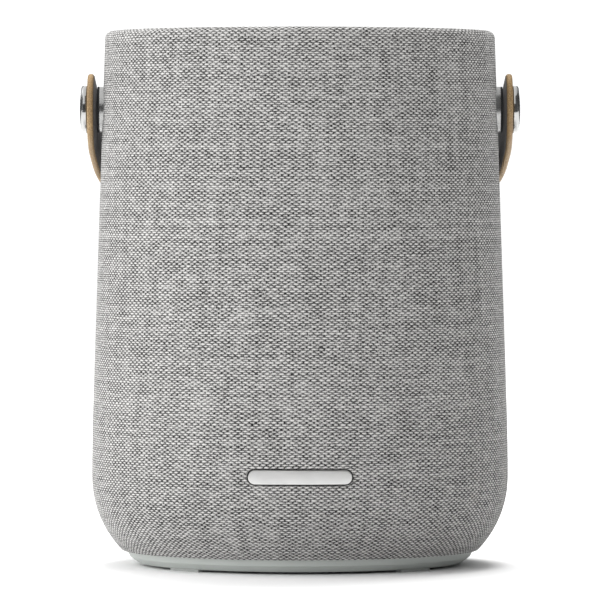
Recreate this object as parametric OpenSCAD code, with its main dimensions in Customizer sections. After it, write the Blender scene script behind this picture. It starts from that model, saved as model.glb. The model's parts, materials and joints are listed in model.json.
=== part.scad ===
// Portable smart speaker: a fabric-covered drum with a leather carry strap on two side pivots.
// The part stands on +Z = 0, its axis is Z, the badge faces -Y and the strap hangs behind, at +Y.
// The fabric sleeve and everything inside it are offsets of one outline, given by side() and r_at().

/* [Body] */
// Widest diameter of the body over the fabric
body_d = 134; // [133:0.5:150]
// Height from the surface it stands on to the top of the rim
body_h = 171.6; // [170:0.2:200]
// Diameter over the fabric just under the rim
top_d = 125.4; // [122:0.2:130]
// Height of the widest line above the surface
belly_z = 28.5; // [26:0.5:31]
// Radius of the rounding from the flank down to the base
base_round = 34; // [30:0.5:36]
// Radius of the soft bend from the widest line into the straight flank
flank_round = 600; // [400:50:900]
// Radius of the rounding on both edges of the rim
rim_round = 2.4; // [2:0.1:2.8]
// Width of the rim, from its outside to the recess for the top panel
rim_w = 5.9; // [5.7:0.1:7]

/* [Fabric and shells] */
// Thickness of the fabric sleeve
fabric_t = 1.2; // [0.8:0.1:1.5]
// Wall of the grille frame under the fabric
frame_t = 2; // [1.6:0.1:2.4]
// Gap between the grille frame and the sealed enclosure
frame_gap = 1.2; // [0.8:0.1:1.6]
// Wall of the sealed enclosure
enclosure_t = 2.5; // [2:0.1:3]
// Thickness of the front baffle that the drivers are screwed to
baffle_t = 3.5; // [3:0.1:4.5]
// Thickness of the foam gasket behind the baffle
gasket_t = 0.8; // [0.5:0.1:1.2]

/* [Grille windows] */
// Columns of sound windows in the front of the grille frame
window_columns = 11; // [7:2:13]
// Rows of sound windows
window_rows = 5; // [3:1:6]
// Arc that the windows cover, in degrees
window_arc = 132; // [100:4:132]
// Width of the ribs between the windows
window_rib = 2.4; // [2:0.1:4]

/* [Base] */
// Height of the ring under the fabric, from the surface to the fabric's edge
hem_z = 4.8; // [4.4:0.1:5.4]
// How far the fabric's edge stands out from the base ring
hem_step = 1.5; // [1.3:0.1:1.8]
// Height of the rubber feet below the base ring
foot_proud = 0.8; // [0.6:0.1:1]
// Arc that one foot covers, in degrees
foot_arc = 14; // [10:1:20]
// Width of a foot along the radius
foot_w = 3; // [2.4:0.2:3.4]
// Diameter of the bottom cover plate
base_plate_d = 95.6; // [90:0.2:96]
// Thickness of the bottom cover plate
base_plate_t = 2.4; // [2:0.1:2.6]
// Diameter of the charging pad in the bottom cover
dock_pad_d = 34; // [28:1:40]

/* [Strap] */
// Distance of the strap's pivots below the top of the rim
pivot_drop = 25.2; // [24:0.2:30]
// Width of the strap
strap_w = 23; // [20:0.5:26]
// Thickness of the tan leather
leather_t = 2.1; // [1.6:0.1:2.6]
// Thickness of the dark lining
lining_t = 1; // [0.6:0.1:1.4]
// How far the lining stops short of the leather's edges
lining_inset = 0.6; // [0.4:0.1:1.2]
// Straight length of the strap past its pivot
strap_flat = 8; // [8:0.5:10]
// Length of the inclined stretch between the straight end and the loop
strap_lean_l = 12; // [8:0.5:16]
// Angle of that stretch towards the body
strap_lean = 5.2; // [4:0.1:6]
// Least distance between the hanging strap and the body
strap_gap = 0.3; // [0.3:0.1:1]

/* [Pivots] */
// Diameter of the metal boss and of the rivet cap's seat
boss_d = 14.8; // [13:0.2:16]
// How far the boss stands out of the fabric
boss_proud = 1.15; // [0.8:0.05:2]
// Thickness of the washer between boss and strap
washer_t = 0.55; // [0.4:0.05:0.8]
// Diameter of the rivet cap
cap_d = 15.4; // [14:0.2:17]
// Height of the rivet cap's domed head
cap_h = 2.4; // [2.2:0.1:3]
// Diameter of the pivot pin
pin_d = 6; // [5:0.2:7]
// Radial running clearance of strap and washers on the pin
pin_clear = 0.05; // [0.02:0.01:0.1]
// Clearance of the strap along the pin, on each side
side_clear = 0.1; // [0.05:0.05:0.2]
// Wall of the eyelets that line the strap's holes
eyelet_t = 1.2; // [0.8:0.1:1.6]

/* [Top panel] */
// Depth of the top panel below the rim
deck_depth = 3.4; // [2.6:0.1:3.8]
// Thickness of the top panel
deck_t = 2.4; // [2:0.1:2.8]
// Depth of the top panel's shallow dish
deck_dish = 0.9; // [0.3:0.1:1]
// Diameter of the round centre button
main_button_d = 17; // [15:0.5:19]
// Diameter of the four buttons around it
button_d = 12; // [10:0.5:13]
// Distance of those buttons from the centre
button_ring = 22; // [20:0.5:26]
// How far the buttons stand out of the panel
button_proud = 0.6; // [0.3:0.1:1]
// Travel of every push button
button_travel = 0.6; // [0.4:0.05:0.7]
// Radial clearance of a button in its hole
button_clear = 0.25; // [0.2:0.05:0.35]
// Number of status lights
light_count = 4; // [3:1:5]

/* [Rear port panel] */
// Width of the upright rear port panel
port_w = 17; // [15:0.5:18]
// Height of the rear port panel
port_h = 46; // [42:1:50]
// Height of the panel's centre above the surface
port_z = 53; // [50:1:60]
// Depth of the panel's face below the fabric
port_recess = 0.9; // [0.5:0.1:1.5]
// Travel of the microphone switch
mute_travel = 2.5; // [1.5:0.1:2.5]

/* [Badge] */
// Length of the badge
badge_l = 32.5; // [26:0.5:38]
// Height of the badge
badge_w = 4.4; // [4:0.1:6]
// Height of the badge's centre above the surface
badge_z = 31.2; // [29:0.2:34]
// How far the badge stands out of the fabric
badge_proud = 0.5; // [0.3:0.1:0.9]

/* [Drivers] */
// Outside diameter of the woofer's magnet
magnet_d = 62; // [54:1:66]
// Outside diameter of the tweeter's faceplate
tweeter_d = 38; // [34:1:38]
// Diameter of the tweeter's dome
dome_d = 20; // [18:1:22]

/* [Battery and boards] */
// Diameter of a battery cell
cell_d = 21; // [18:0.5:21.5]
// Length of a battery cell
cell_l = 70; // [60:1:70]
// Thickness of the circuit boards
board_t = 1.6; // [1:0.1:1.6]
// Width of the main board
main_board_w = 60; // [54:1:62]
// Height of the main board
main_board_h = 56; // [48:1:58]

/* [Hidden] */
$fn = 96;
arc_steps = 12;
flank_steps = 4;
slack = 0.2;         // fit of a part in the cut-out made for it
past = 1;            // how far a cutting tool runs past the face it opens
far = 200;           // half-size of the blocks that cut a piece along a plane

body_r = body_d / 2;
top_r = top_d / 2;
recess_r = top_r - rim_w;

// depths below the fabric's outer surface
frame_in = fabric_t + frame_t;
enclosure_out = frame_in + frame_gap;
enclosure_in = enclosure_out + enclosure_t;

// centres of the outline's three round stretches, as [radius, height]
base_c = [body_r - base_round, belly_z];
flank_c = [body_r - flank_round, belly_z];
rim_c = [top_r - rim_round, body_h - rim_round];
rim_from_flank = rim_c - flank_c;
rim_direction = atan2(rim_from_flank.y, rim_from_flank.x);
flank_lean = rim_direction - acos((flank_round - rim_round) / norm(rim_from_flank));
flank_end_z = belly_z + flank_round * sin(flank_lean);

// Radius of the outline at height z, at a depth below the fabric's outer surface
function r_at(z, depth = 0) =
    z < belly_z ? base_c.x + sqrt(pow(base_round - depth, 2) - pow(belly_z - z, 2)) :
    z < flank_end_z ? flank_c.x + sqrt(pow(flank_round - depth, 2) - pow(z - belly_z, 2)) :
    flank_c.x + (flank_round - depth - (z - belly_z) * sin(flank_lean)) / cos(flank_lean);

function arc(c, r, from, to, steps) =
    [for (i = [0:steps]) let (a = from + (to - from) * i / steps) c + r * [cos(a), sin(a)]];

function base_angle(z, depth) = asin((min(z, belly_z) - belly_z) / (base_round - depth));
function base_side(depth, low, high) =
    arc(base_c, base_round - depth, base_angle(low, depth), base_angle(high, depth), arc_steps);
flank_levels = [for (i = [1:flank_steps]) belly_z + (flank_end_z - belly_z) * i / flank_steps];

// The outline between two heights, from the bottom up
function side(depth, low, high) = concat(
    low < belly_z ? base_side(depth, low, high) : [[r_at(low, depth), low]],
    [for (z = flank_levels) if (z > low && z < high) [r_at(z, depth), z]],
    high > belly_z ? [[r_at(high, depth), high]] : []);

function reversed(list) = [for (i = [len(list) - 1:-1:0]) list[i]];

// levels of the base, from the surface up
ring_z = foot_proud;
plate_z = ring_z + 0.5;
plate_top_z = plate_z + base_plate_t;
tub_floor_z = hem_z + 3.2;                 // underside of the enclosure's floor
floor_t = 3;
inner_z = tub_floor_z + floor_t;

widest_driver = 0.8;                       // share of the enclosure's width that a driver may take

// levels of the top, from the rim down
deck_z = body_h - deck_depth;
deck_under_z = deck_z - deck_t;
ledge_t = 2;
ledge_r = recess_r - 2.5;                  // inner edge of the ledge under the top panel
ledge_foot_z = deck_under_z - ledge_t - 3; // where the ledge's underside runs into the grille frame
window_root_r = recess_r - 4;              // the windows are cut from this radius outwards
window_foot = 8;                           // frame left between the badge and the windows
window_head = 3;                           // frame left above the windows, below the tweeter's top
switch_h = 1.7;
button_flange_t = 0.75;
button_seat = 0.05;                        // play between a button's flange and the panel
press_gap = button_travel + 0.1;
button_board_z = deck_under_z - button_seat - button_flange_t - press_gap - switch_h - board_t;
lid_t = 3;
standoff_h = 3;
button_board_r = ledge_r - 6;
standoff_places = [for (a = [45:90:315]) (button_board_r - 6) * [cos(a), sin(a)]];
lid_z = button_board_z - standoff_h - lid_t;

// drivers: the tweeter sits under the lid, and the woofer is as large as the height below it
// and the width of the enclosure let it be
tweeter_r = tweeter_d / 2;
tweeter_margin = 2;
driver_gap = 0.5;
woofer_margin = 5.5;
tweeter_z = lid_z - tweeter_margin - tweeter_r;
woofer_top_z = tweeter_z - tweeter_r - driver_gap;
woofer_low_z = inner_z + woofer_margin;
woofer_r = min((woofer_top_z - woofer_low_z) / 2, r_at(belly_z, enclosure_out) * widest_driver);
woofer_z = (woofer_top_z + woofer_low_z) / 2;
baffle_margin = 2.5;                       // baffle left and right of the woofer
baffle_y = -sqrt(pow(r_at(woofer_z, enclosure_out), 2) - pow(woofer_r + baffle_margin, 2));
baffle_back_y = baffle_y + baffle_t;
tub_front_y = baffle_back_y + gasket_t;

// woofer, in its own frame: z points forwards from the baffle's front face
basket_flange_w = 7;
basket_flange_t = 1.6;
basket_wall = 1.2;
basket_in_r = woofer_r - basket_flange_w;
basket_back_z = -26;
basket_back_r = 24;
basket_plate_t = 1.5;
top_plate_t = 4;
basket_rim = 1;                            // the rear plate stands in from the magnet by this much
basket_slots = 6;                          // windows in the basket's flank
basket_slot = [16, 20, 12];
ferrite_t = 12;
yoke_t = 4;
pole_r = 9;
coil_gap = 0.4;
coil_t = 0.6;
top_plate_z = basket_back_z - basket_plate_t - top_plate_t;
ferrite_z = top_plate_z - ferrite_t;
yoke_z = ferrite_z - yoke_t;
former_r = pole_r + coil_gap;
coil_r = former_r + coil_t;
basket_bore_r = coil_r + 1.6;              // hole in the basket's rear plate
cone_neck_z = -14;
cone_edge_z = 1.4;
cone_t = 0.8;
spider_z = -19;
spider_t = 0.5;
spider_waves = 5;
spider_wave_h = 1.2;
spider_seat = 0.3;                         // gap between the spider's edge and the basket
dust_cap_r = 12;
dust_cap_rise = 4;
dust_cap_t = 0.6;
surround_r = (basket_in_r + woofer_r) / 2 - 6.8;
surround_roll = 3.2;
surround_t = 0.8;
surround_lap = 3;                          // overlap of the surround on the cone
cone_r = surround_r - surround_roll + surround_t;
cone_bend = [coil_r + (cone_r - coil_r) * 0.456, cone_neck_z + (cone_edge_z - cone_neck_z) * 0.52];
screw_ring_r = woofer_r - basket_flange_w / 2 + 0.5;
screw_r = 1.5;
screw_head_r = 2.7;
screw_head_h = 1.6;
woofer_screws = 4;
tweeter_screws = 3;
tweeter_plate_t = 2;
tweeter_edge = 0.6;                        // chamfer on the faceplate's rim
horn_w = 3.2;                              // width of the flare round the dome
horn_low = 0.8;                            // thickness of the faceplate at the foot of the flare
dome_t = 0.5;
dome_rise = 5;
dome_skirt = 1.1;                          // flat edge that the dome is glued by
tweeter_pot_r = 14;
tweeter_pot_l = 13;
tweeter_screw_ring_r = tweeter_r - 2.6;
screw_clear = 0.15;
screw_short = 0.5;                         // the driver screws end this far before the baffle's back

// battery behind the woofer
holder_wall = 1.6;
holder_h = 26;
cell_clear = 0.15;
cell_nub_r = 3.5;
cell_nub_h = 1.2;
cell_pitch = cell_d + 1.4;
holder_l = cell_pitch + cell_d + 2 * holder_wall;
holder_w = cell_d + 2 * holder_wall;
battery_y = baffle_y - yoke_z + 1.5 + holder_w / 2;
holder_floor = 2;

// main board on posts from the enclosure's rear wall
main_board_z = lid_z - 7 - main_board_h;
post_inset = 4;
post_r = 3;
chip_size = 10;
chip_t = 1.4;
part_gap = 3;
capacitor_r = 4;
capacitor_l = 9;
capacitor_pitch = 2 * capacitor_r + 1;
sink_w = 22;
sink_h = 14;
sink_depth = 7;
sink_plate_t = 1.5;
sink_fin_t = 1.2;
sink_fins = 7;
board_post_x = main_board_w / 2 - post_inset;
main_board_y = sqrt(pow(r_at(lid_z, enclosure_in), 2) - pow(main_board_w / 2, 2)) - 6.5;

// rear port module
port_face_y = r_at(port_z) - port_recess;
port_plate_t = 2;
port_flange = 2;
port_flange_t = 1.2;
port_seat_y = r_at(port_z, enclosure_out) - 1.5;
port_wall = 1.6;
port_cavity_w = port_w - 2 * port_wall;
port_cavity_h = port_h - 2 * port_wall;
port_board_depth = 7.6;                    // from the panel's face to the board
port_board_back = 4;                       // room behind the board
port_board_front_y = port_face_y - port_board_depth;
pocket_wall = 2;
pocket_floor_y = port_board_front_y - board_t - port_board_back;
port_end_inset = 9;                        // the button and the socket sit this far from the ends
power_z = port_z + port_h / 2 - port_end_inset;
power_r = 4;
power_proud = 0.4;
usb_z = port_z - port_h / 2 + port_end_inset;
usb_size = [9, 3.3];
usb_wall = 0.35;
usb_back = 1.5;
usb_recess = 0.4;
usb_tongue = [6.7, 0.7];
usb_tongue_recess = 0.6;
mute_z = (power_z + usb_z) / 2 - mute_travel / 2;
mute_knob = [3.4, 4.6];
mute_body = [6, 9];
mute_lip = 1.2;
mute_gap = 0.1;
mute_rib = 0.5;
power_switch_w = 6;
spacer_r = 2.2;
spacer_inset = 4;
port_flange_under = port_face_y - port_plate_t - button_seat;

// pivots and strap
pivot_z = body_h - pivot_drop;
boss_r = boss_d / 2;
cap_r = cap_d / 2;
pin_r = pin_d / 2;
bore_r = pin_r + pin_clear;
boss_x = r_at(pivot_z) + boss_proud;
washer_x = boss_x;
strap_t = leather_t + lining_t;
strap_x = boss_x + washer_t + side_clear;     // inner face of the strap at the pivot
strap_out_x = strap_x + strap_t;
cap_x = strap_out_x + side_clear;
cap_socket = 1;                               // depth of the pin's seat in the cap
cap_seat_clear = 0.02;
cap_dome = 46;                                // radius of the cap's domed face
cap_shoulder = 0.9;                           // rounding between the domed face and the rim
cap_foot = 0.3;                               // chamfer where the cap meets the strap
pin_bite = 8;                                 // how far the pin goes into the enclosure
pin_in_x = r_at(pivot_z, enclosure_in) - pin_bite;
pin_boss_wall = 2;
pin_boss_r = pin_r + 3;
eyelet_r = bore_r + eyelet_t;

loop_x = strap_out_x - strap_lean_l * sin(strap_lean);
loop_s = strap_flat + strap_lean_l * cos(strap_lean);
loop_r = loop_x / cos(strap_lean);            // outer radius of the loop, tangent to the leaning stretch
loop_c = loop_s - loop_r * sin(strap_lean);   // distance of its centre from the pivots

// Room between the body and the strap's lower inner edge, when the strap hangs at an angle below level
function strap_room(hang) = min([for (a = [30:5:90])
    let (x = (loop_r - strap_t) * cos(a),
         s = loop_c + (loop_r - strap_t) * sin(a),
         y = s * cos(hang) - strap_w / 2 * sin(hang),
         z = pivot_z - s * sin(hang) - strap_w / 2 * cos(hang))
    norm([x, y]) - r_at(z)]);

// The strap drops until its lower edge is strap_gap from the body
function strap_rest(hang) = hang <= 5 || strap_room(hang) >= strap_gap ? hang : strap_rest(hang - 0.1);
hang_angle = strap_rest(35);

fabric_grey = [0.66, 0.65, 0.64];
plastic_grey = [0.62, 0.64, 0.62];
black = [0.09, 0.09, 0.1];
dark_grey = [0.22, 0.22, 0.23];
steel = [0.75, 0.75, 0.76];
tan = [0.66, 0.49, 0.3];
board_green = [0.07, 0.3, 0.18];
brass = [0.8, 0.64, 0.3];

// ---------- shapes that several pieces share ----------

// Solid of the body at a depth below the fabric, between two heights
module core(depth, low, high) {
    rotate_extrude() polygon(concat([[0, low]], side(depth, low, high), [[0, high]]));
}

// Shell between two depths
module shell(outer, inner, low, high) {
    rotate_extrude() polygon(concat(side(outer, low, high), reversed(side(inner, low, high))));
}

// Keeps what lies behind the plane y
module behind(y) {
    intersection() {
        children();
        translate([-far, y, -far]) cube([2 * far, 2 * far, 3 * far]);
    }
}

// Outline of a bar with round ends, its length along X
module capsule(l, w) {
    square([l - w, w], center = true);
    for (end = [-1, 1]) translate([end * (l - w) / 2, 0]) circle(d = w);
}

// Outline of a rectangle with round corners
module rounded(size, r) {
    for (v = [[0, r], [r, 0]]) square(size - 2 * v, center = true);
    for (x = [-1, 1], y = [-1, 1]) translate([x * (size.x / 2 - r), y * (size.y / 2 - r)]) circle(r = r);
}

// Local z forwards (-Y) from the baffle's front face, on a driver's axis
module on_baffle(z) translate([0, baffle_y, z]) rotate([90, 0, 0]) children();

// Local z to the rear (+Y), from a plane y, local y up
module to_rear(y, z) translate([0, y, z]) rotate([90, 0, 180]) children();

// Local z outwards along +X from the body's axis at the pivots' height
module on_pivot(x) translate([x, 0, pivot_z]) rotate([0, 90, 0]) children();

module left_side() mirror([1, 0, 0]) children();

module both_pivots(x) {
    on_pivot(x) children();
    left_side() on_pivot(x) children();
}

// Upright round tool at a place [x, y], between two heights
module bore(p, r, low, high) translate([p.x, p.y, low]) cylinder(r = r, h = high - low);

// Half of a disc, on the side of local +Y
module half_disc(r, t) rotate_extrude(angle = 180) square([r, t]);

module tube(r_in, r_out, h) linear_extrude(h) difference() {
    circle(r = r_out);
    circle(r = r_in);
}

// ---------- covers and shells ----------

// Path of one skin of the rim: outer rounding, flat top, inner rounding, then down to a level
function rim_path(depth, low) = concat(
    arc(rim_c, rim_round - depth, flank_lean, 90, 6),
    arc([recess_r + rim_round, rim_c.y], rim_round - depth, 90, 180, 6),
    [[recess_r + depth, low]]);

module pivot_holes(r) both_pivots(recess_r) cylinder(r = r, h = body_r);

module badge_cut(grow) {
    translate([0, -recess_r, badge_z]) rotate([90, 0, 0])
        linear_extrude(body_r) capsule(badge_l + 2 * grow, badge_w + 2 * grow);
}

// Upright outline of the port panel, larger all round by grow
module port_outline(grow) rotate(90) capsule(port_h + 2 * grow, port_w + 2 * grow);

module port_cut(grow) to_rear(port_seat_y, port_z) linear_extrude(body_r) port_outline(grow);

module fabric_sleeve() {
    color(fabric_grey) difference() {
        rotate_extrude() polygon(concat(
            side(0, hem_z, flank_end_z + past), rim_path(0, deck_under_z),
            reversed(rim_path(fabric_t, deck_under_z)),
            reversed(side(fabric_t, hem_z, flank_end_z + past))));
        pivot_holes(boss_r + slack);
        badge_cut(slack);
        port_cut(0);
    }
}

// Rows of windows through the front of the grille frame, with ribs between them
module sound_windows() {
    low = badge_z + badge_w / 2 + window_foot;
    high = tweeter_z + tweeter_r - window_head;
    row_h = (high - low) / window_rows;
    turn = window_arc / window_columns;
    open = turn - window_rib / body_r * 180 / PI;
    for (row = [0:window_rows - 1], column = [0:window_columns - 1])
        rotate(270 - window_arc / 2 + column * turn + (turn - open) / 2)
            rotate_extrude(angle = open) translate([window_root_r, low + row * row_h + window_rib / 2])
                square([body_r, row_h - window_rib]);
}

module grille_frame() {
    color(black) difference() {
        rotate_extrude() polygon(concat(
            side(fabric_t, hem_z, flank_end_z + past), rim_path(fabric_t, deck_under_z),
            [[ledge_r, deck_under_z], [ledge_r, deck_under_z - ledge_t],
             [r_at(ledge_foot_z, frame_in), ledge_foot_z]],
            reversed(side(frame_in, hem_z, flank_end_z + past))));
        pivot_holes(bore_r);
        port_cut(port_flange + slack);
        sound_windows();
    }
}

// Sealed rear of the enclosure: a tub cut flat at the front, with a pocket for the port module
module enclosure_tub() {
    color(dark_grey) difference() {
        union() {
            behind(tub_front_y) difference() {
                core(enclosure_out, tub_floor_z, lid_z);
                core(enclosure_in, inner_z, lid_z + past);
            }
            intersection() {
                core(enclosure_out, inner_z, lid_z);
                union() {
                    to_rear(pocket_floor_y - pocket_wall, port_z)
                        linear_extrude(far) rounded([port_cavity_w + 2 * pocket_wall,
                                                     port_cavity_h + 2 * pocket_wall], 3);
                    for (x = [-1, 1], z = [post_inset, main_board_h - post_inset])
                        translate([x * board_post_x, main_board_y + board_t, main_board_z + z])
                            rotate([-90, 0, 0]) cylinder(r = post_r, h = body_r);
                    both_pivots(pin_in_x - pin_boss_wall) cylinder(r = pin_boss_r, h = body_r);
                }
            }
        }
        to_rear(pocket_floor_y, port_z) linear_extrude(far) rounded([port_cavity_w, port_cavity_h], 2);
        port_cut(port_flange + slack);
        both_pivots(pin_in_x) cylinder(r = bore_r, h = body_r);
        for (p = base_screw_places) bore(p, screw_r + screw_clear, tub_floor_z - past, inner_z - 1);
    }
}

module enclosure_lid() {
    color(dark_grey) {
        behind(baffle_y) core(enclosure_out, lid_z, lid_z + lid_t);
        for (p = standoff_places) bore(p, post_r, lid_z + lid_t, button_board_z);
    }
}

module baffle_outline(y, t) {
    intersection() {
        core(enclosure_out, tub_floor_z, lid_z);
        translate([-far, y, 0]) cube([2 * far, t, 2 * far]);
    }
}

module front_baffle() {
    color(black) difference() {
        baffle_outline(baffle_y, baffle_t);
        on_baffle(woofer_z) through(basket_in_r + basket_wall + slack);
        on_baffle(tweeter_z) through(tweeter_pot_r + slack);
        driver_screw_places() through(screw_r + screw_clear);
    }
}

// Round tool along local z, through the baffle and whatever is screwed on it
module through(r) translate([0, 0, -baffle_t - past]) cylinder(r = r, h = 2 * baffle_t + 2 * past);

module baffle_gasket() {
    color(black) difference() {
        baffle_outline(baffle_back_y, gasket_t);
        core(enclosure_in, inner_z, lid_z + past);
    }
}

// ---------- drivers ----------

module woofer_screw_places() on_baffle(woofer_z)
    for (i = [0:woofer_screws - 1]) rotate(45 + i * 360 / woofer_screws)
        translate([screw_ring_r, 0, 0]) children();

module tweeter_screw_places() on_baffle(tweeter_z)
    for (i = [0:tweeter_screws - 1]) rotate(30 + i * 360 / tweeter_screws)
        translate([tweeter_screw_ring_r, 0, 0]) children();

module driver_screw_places() {
    woofer_screw_places() children();
    tweeter_screw_places() children();
}

// Inner radius of the basket's flank at a local height
function basket_inner(z) = let (foot_r = basket_back_r - basket_rim)
    foot_r + (basket_in_r - foot_r) * (z - basket_back_z) / (-basket_wall - basket_back_z);

module woofer_basket() {
    rear_z = basket_back_z - basket_plate_t;
    rear_r = magnet_d / 2 - basket_rim;
    color(steel) difference() {
        on_baffle(woofer_z) difference() {
            rotate_extrude() polygon([
                [basket_in_r, basket_flange_t], [woofer_r, basket_flange_t], [woofer_r, 0],
                [basket_in_r + basket_wall, 0], [basket_back_r + basket_wall, basket_back_z],
                [rear_r, basket_back_z], [rear_r, rear_z], [basket_bore_r, rear_z],
                [basket_bore_r, basket_back_z], [basket_inner(basket_back_z), basket_back_z],
                [basket_in_r, -basket_wall]]);
            // windows through the middle of the sloping flank
            for (i = [0:basket_slots - 1]) rotate((i + 0.5) * 360 / basket_slots)
                translate([basket_in_r - 5, 0, basket_back_z / 2]) rotate([0, 35, 0])
                    translate([-4, -basket_slot.y / 2, -7]) cube(basket_slot);
        }
        driver_screw_places() through(screw_r + screw_clear);
    }
}

// Height of the cone's front near its neck, at a radius
function cone_z(r) = cone_neck_z + (cone_bend.y - cone_neck_z) * (r - coil_r) / (cone_bend.x - coil_r);

module woofer_cone() {
    front = [[coil_r, cone_neck_z], cone_bend, [cone_r, cone_edge_z]];
    color(black) on_baffle(woofer_z) rotate_extrude() polygon(concat(
        front, [for (p = reversed(front)) p - [0, cone_t]]));
}

// Half-roll surround between the cone and the basket's flange
module woofer_surround() {
    base_z = basket_flange_t;
    color(black) on_baffle(woofer_z) rotate_extrude() difference() {
        union() {
            translate([surround_r, base_z]) circle(r = surround_roll + surround_t / 2);
            translate([cone_r - surround_lap, base_z])
                square([surround_r - cone_r + surround_lap, surround_t]);
            translate([surround_r, base_z]) square([basket_in_r + 1 - surround_r, surround_t]);
        }
        translate([surround_r, base_z]) circle(r = surround_roll - surround_t / 2);
        translate([surround_r - basket_flange_w, base_z - 2 * surround_roll])
            square([2 * basket_flange_w, 2 * surround_roll]);
    }
}

// Thin dome of a given edge radius and rise, from its edge to the axis and back along its underside
function dome_skin(r, rise, t) =
    let (round_r = (r * r + rise * rise) / (2 * rise), half = asin(r / round_r))
    concat(arc([0, rise - round_r], round_r, 90 - half, 90, 6),
           arc([0, rise - round_r], round_r - t, 90, 90 - half, 6));

module woofer_dust_cap() {
    color(black) on_baffle(woofer_z) translate([0, 0, cone_z(dust_cap_r) + dust_cap_t])
        rotate_extrude() polygon(dome_skin(dust_cap_r, dust_cap_rise, dust_cap_t));
}

// Corrugated suspension between the coil and the basket
module woofer_spider() {
    inner = coil_r + 0.1;
    outer = basket_inner(spider_z) - spider_seat;
    function wave(dz) = [for (i = [0:2 * spider_waves])
        [inner + (outer - inner) * i / (2 * spider_waves), spider_z + dz + (i % 2) * spider_wave_h]];
    color([0.75, 0.62, 0.35]) on_baffle(woofer_z)
        rotate_extrude() polygon(concat(wave(0), reversed(wave(spider_t))));
}

// Former with the winding on its rear end, in the magnet's gap
module voice_coil() {
    color(brass) on_baffle(woofer_z) rotate_extrude() {
        translate([former_r, top_plate_z - 1]) square([coil_t / 2, cone_neck_z - top_plate_z + 1]);
        translate([former_r, top_plate_z - 2]) square([coil_t, top_plate_t + 4]);
    }
}

module woofer_magnet() {
    color(dark_grey) on_baffle(woofer_z)
        translate([0, 0, ferrite_z]) tube(coil_r + 3, magnet_d / 2, ferrite_t);
}

module woofer_yoke() {
    color(steel) on_baffle(woofer_z) {
        translate([0, 0, yoke_z]) cylinder(r = magnet_d / 2 - 2, h = yoke_t);
        translate([0, 0, yoke_z]) cylinder(r = pole_r, h = top_plate_z + top_plate_t - yoke_z);
    }
}

module woofer_top_plate() {
    color(steel) on_baffle(woofer_z) translate([0, 0, top_plate_z])
        tube(coil_r + coil_gap, magnet_d / 2 - 2, top_plate_t);
}

module tweeter_faceplate() {
    throat_r = dome_d / 2 + dome_skirt + 0.1;
    color(black) difference() {
        on_baffle(tweeter_z) rotate_extrude() polygon([
            [throat_r, 0], [tweeter_r, 0], [tweeter_r, tweeter_plate_t - tweeter_edge],
            [tweeter_r - tweeter_edge, tweeter_plate_t], [throat_r + horn_w, tweeter_plate_t],
            [throat_r, horn_low]]);
        driver_screw_places() through(screw_r + screw_clear);
    }
}

module tweeter_dome() {
    r = dome_d / 2;
    color(dark_grey) on_baffle(tweeter_z) rotate_extrude() polygon(concat(
        [[r + dome_skirt, 0], [r + dome_skirt, dome_t]],
        [for (p = dome_skin(r, dome_rise, dome_t)) p + [0, dome_t]]));
}

module tweeter_magnet() {
    color(steel) on_baffle(tweeter_z)
        translate([0, 0, -tweeter_pot_l]) cylinder(r = tweeter_pot_r, h = tweeter_pot_l);
}

module driver_screws() {
    color(steel) {
        woofer_screw_places() pan_screw(basket_flange_t, baffle_t + basket_flange_t - screw_short);
        tweeter_screw_places() pan_screw(tweeter_plate_t, baffle_t + tweeter_plate_t - screw_short);
    }
}

// Screw with a pan head seated at height z and a shank of length l below it
module pan_screw(z, l) {
    edge = [screw_head_r, z + screw_head_h * 0.6];
    crown = [screw_head_r * 0.7, z + screw_head_h];
    rotate_extrude() polygon([
        [0, z - l], [screw_r, z - l], [screw_r, z], [screw_head_r, z], edge, crown, [0, crown.y]]);
}

// ---------- battery and boards ----------

module at_cells() for (side = [-1, 1]) translate([side * cell_pitch / 2, battery_y, 0]) children();

module battery_holder() {
    color(black) difference() {
        translate([0, battery_y, inner_z]) linear_extrude(holder_h) rounded([holder_l, holder_w], 4);
        at_cells() translate([0, 0, inner_z + holder_floor])
            cylinder(r = cell_d / 2 + cell_clear, h = holder_h);
    }
}

module battery_cells() {
    color([0.2, 0.35, 0.6]) at_cells() translate([0, 0, inner_z + holder_floor]) {
        cylinder(d = cell_d, h = cell_l - cell_nub_h);
        cylinder(r = cell_nub_r, h = cell_l);
    }
}

module main_board() {
    color(board_green) translate([-main_board_w / 2, main_board_y, main_board_z])
        cube([main_board_w, board_t, main_board_h]);
    color(dark_grey) for (i = [-1:1]) {
        translate([(i - 0.5) * chip_size + i * part_gap, main_board_y - chip_t, main_board_z + part_gap])
            cube([chip_size, chip_t, chip_size]);
        translate([i * 2 * capacitor_pitch, main_board_y, main_board_z + main_board_h - capacitor_pitch])
            rotate([90, 0, 0]) cylinder(r = capacitor_r, h = capacitor_l);
    }
}

// Finned heat sink on the amplifier
module heat_sink() {
    pitch = (sink_w - sink_fin_t) / (sink_fins - 1);
    color(steel) translate([-sink_w / 2, main_board_y, main_board_z + main_board_h / 2]) {
        translate([0, -sink_plate_t, -sink_h / 2]) cube([sink_w, sink_plate_t, sink_h]);
        for (i = [0:sink_fins - 1])
            translate([i * pitch, -sink_depth, -sink_h / 2]) cube([sink_fin_t, sink_depth, sink_h]);
    }
}

// ---------- base ----------

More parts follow.
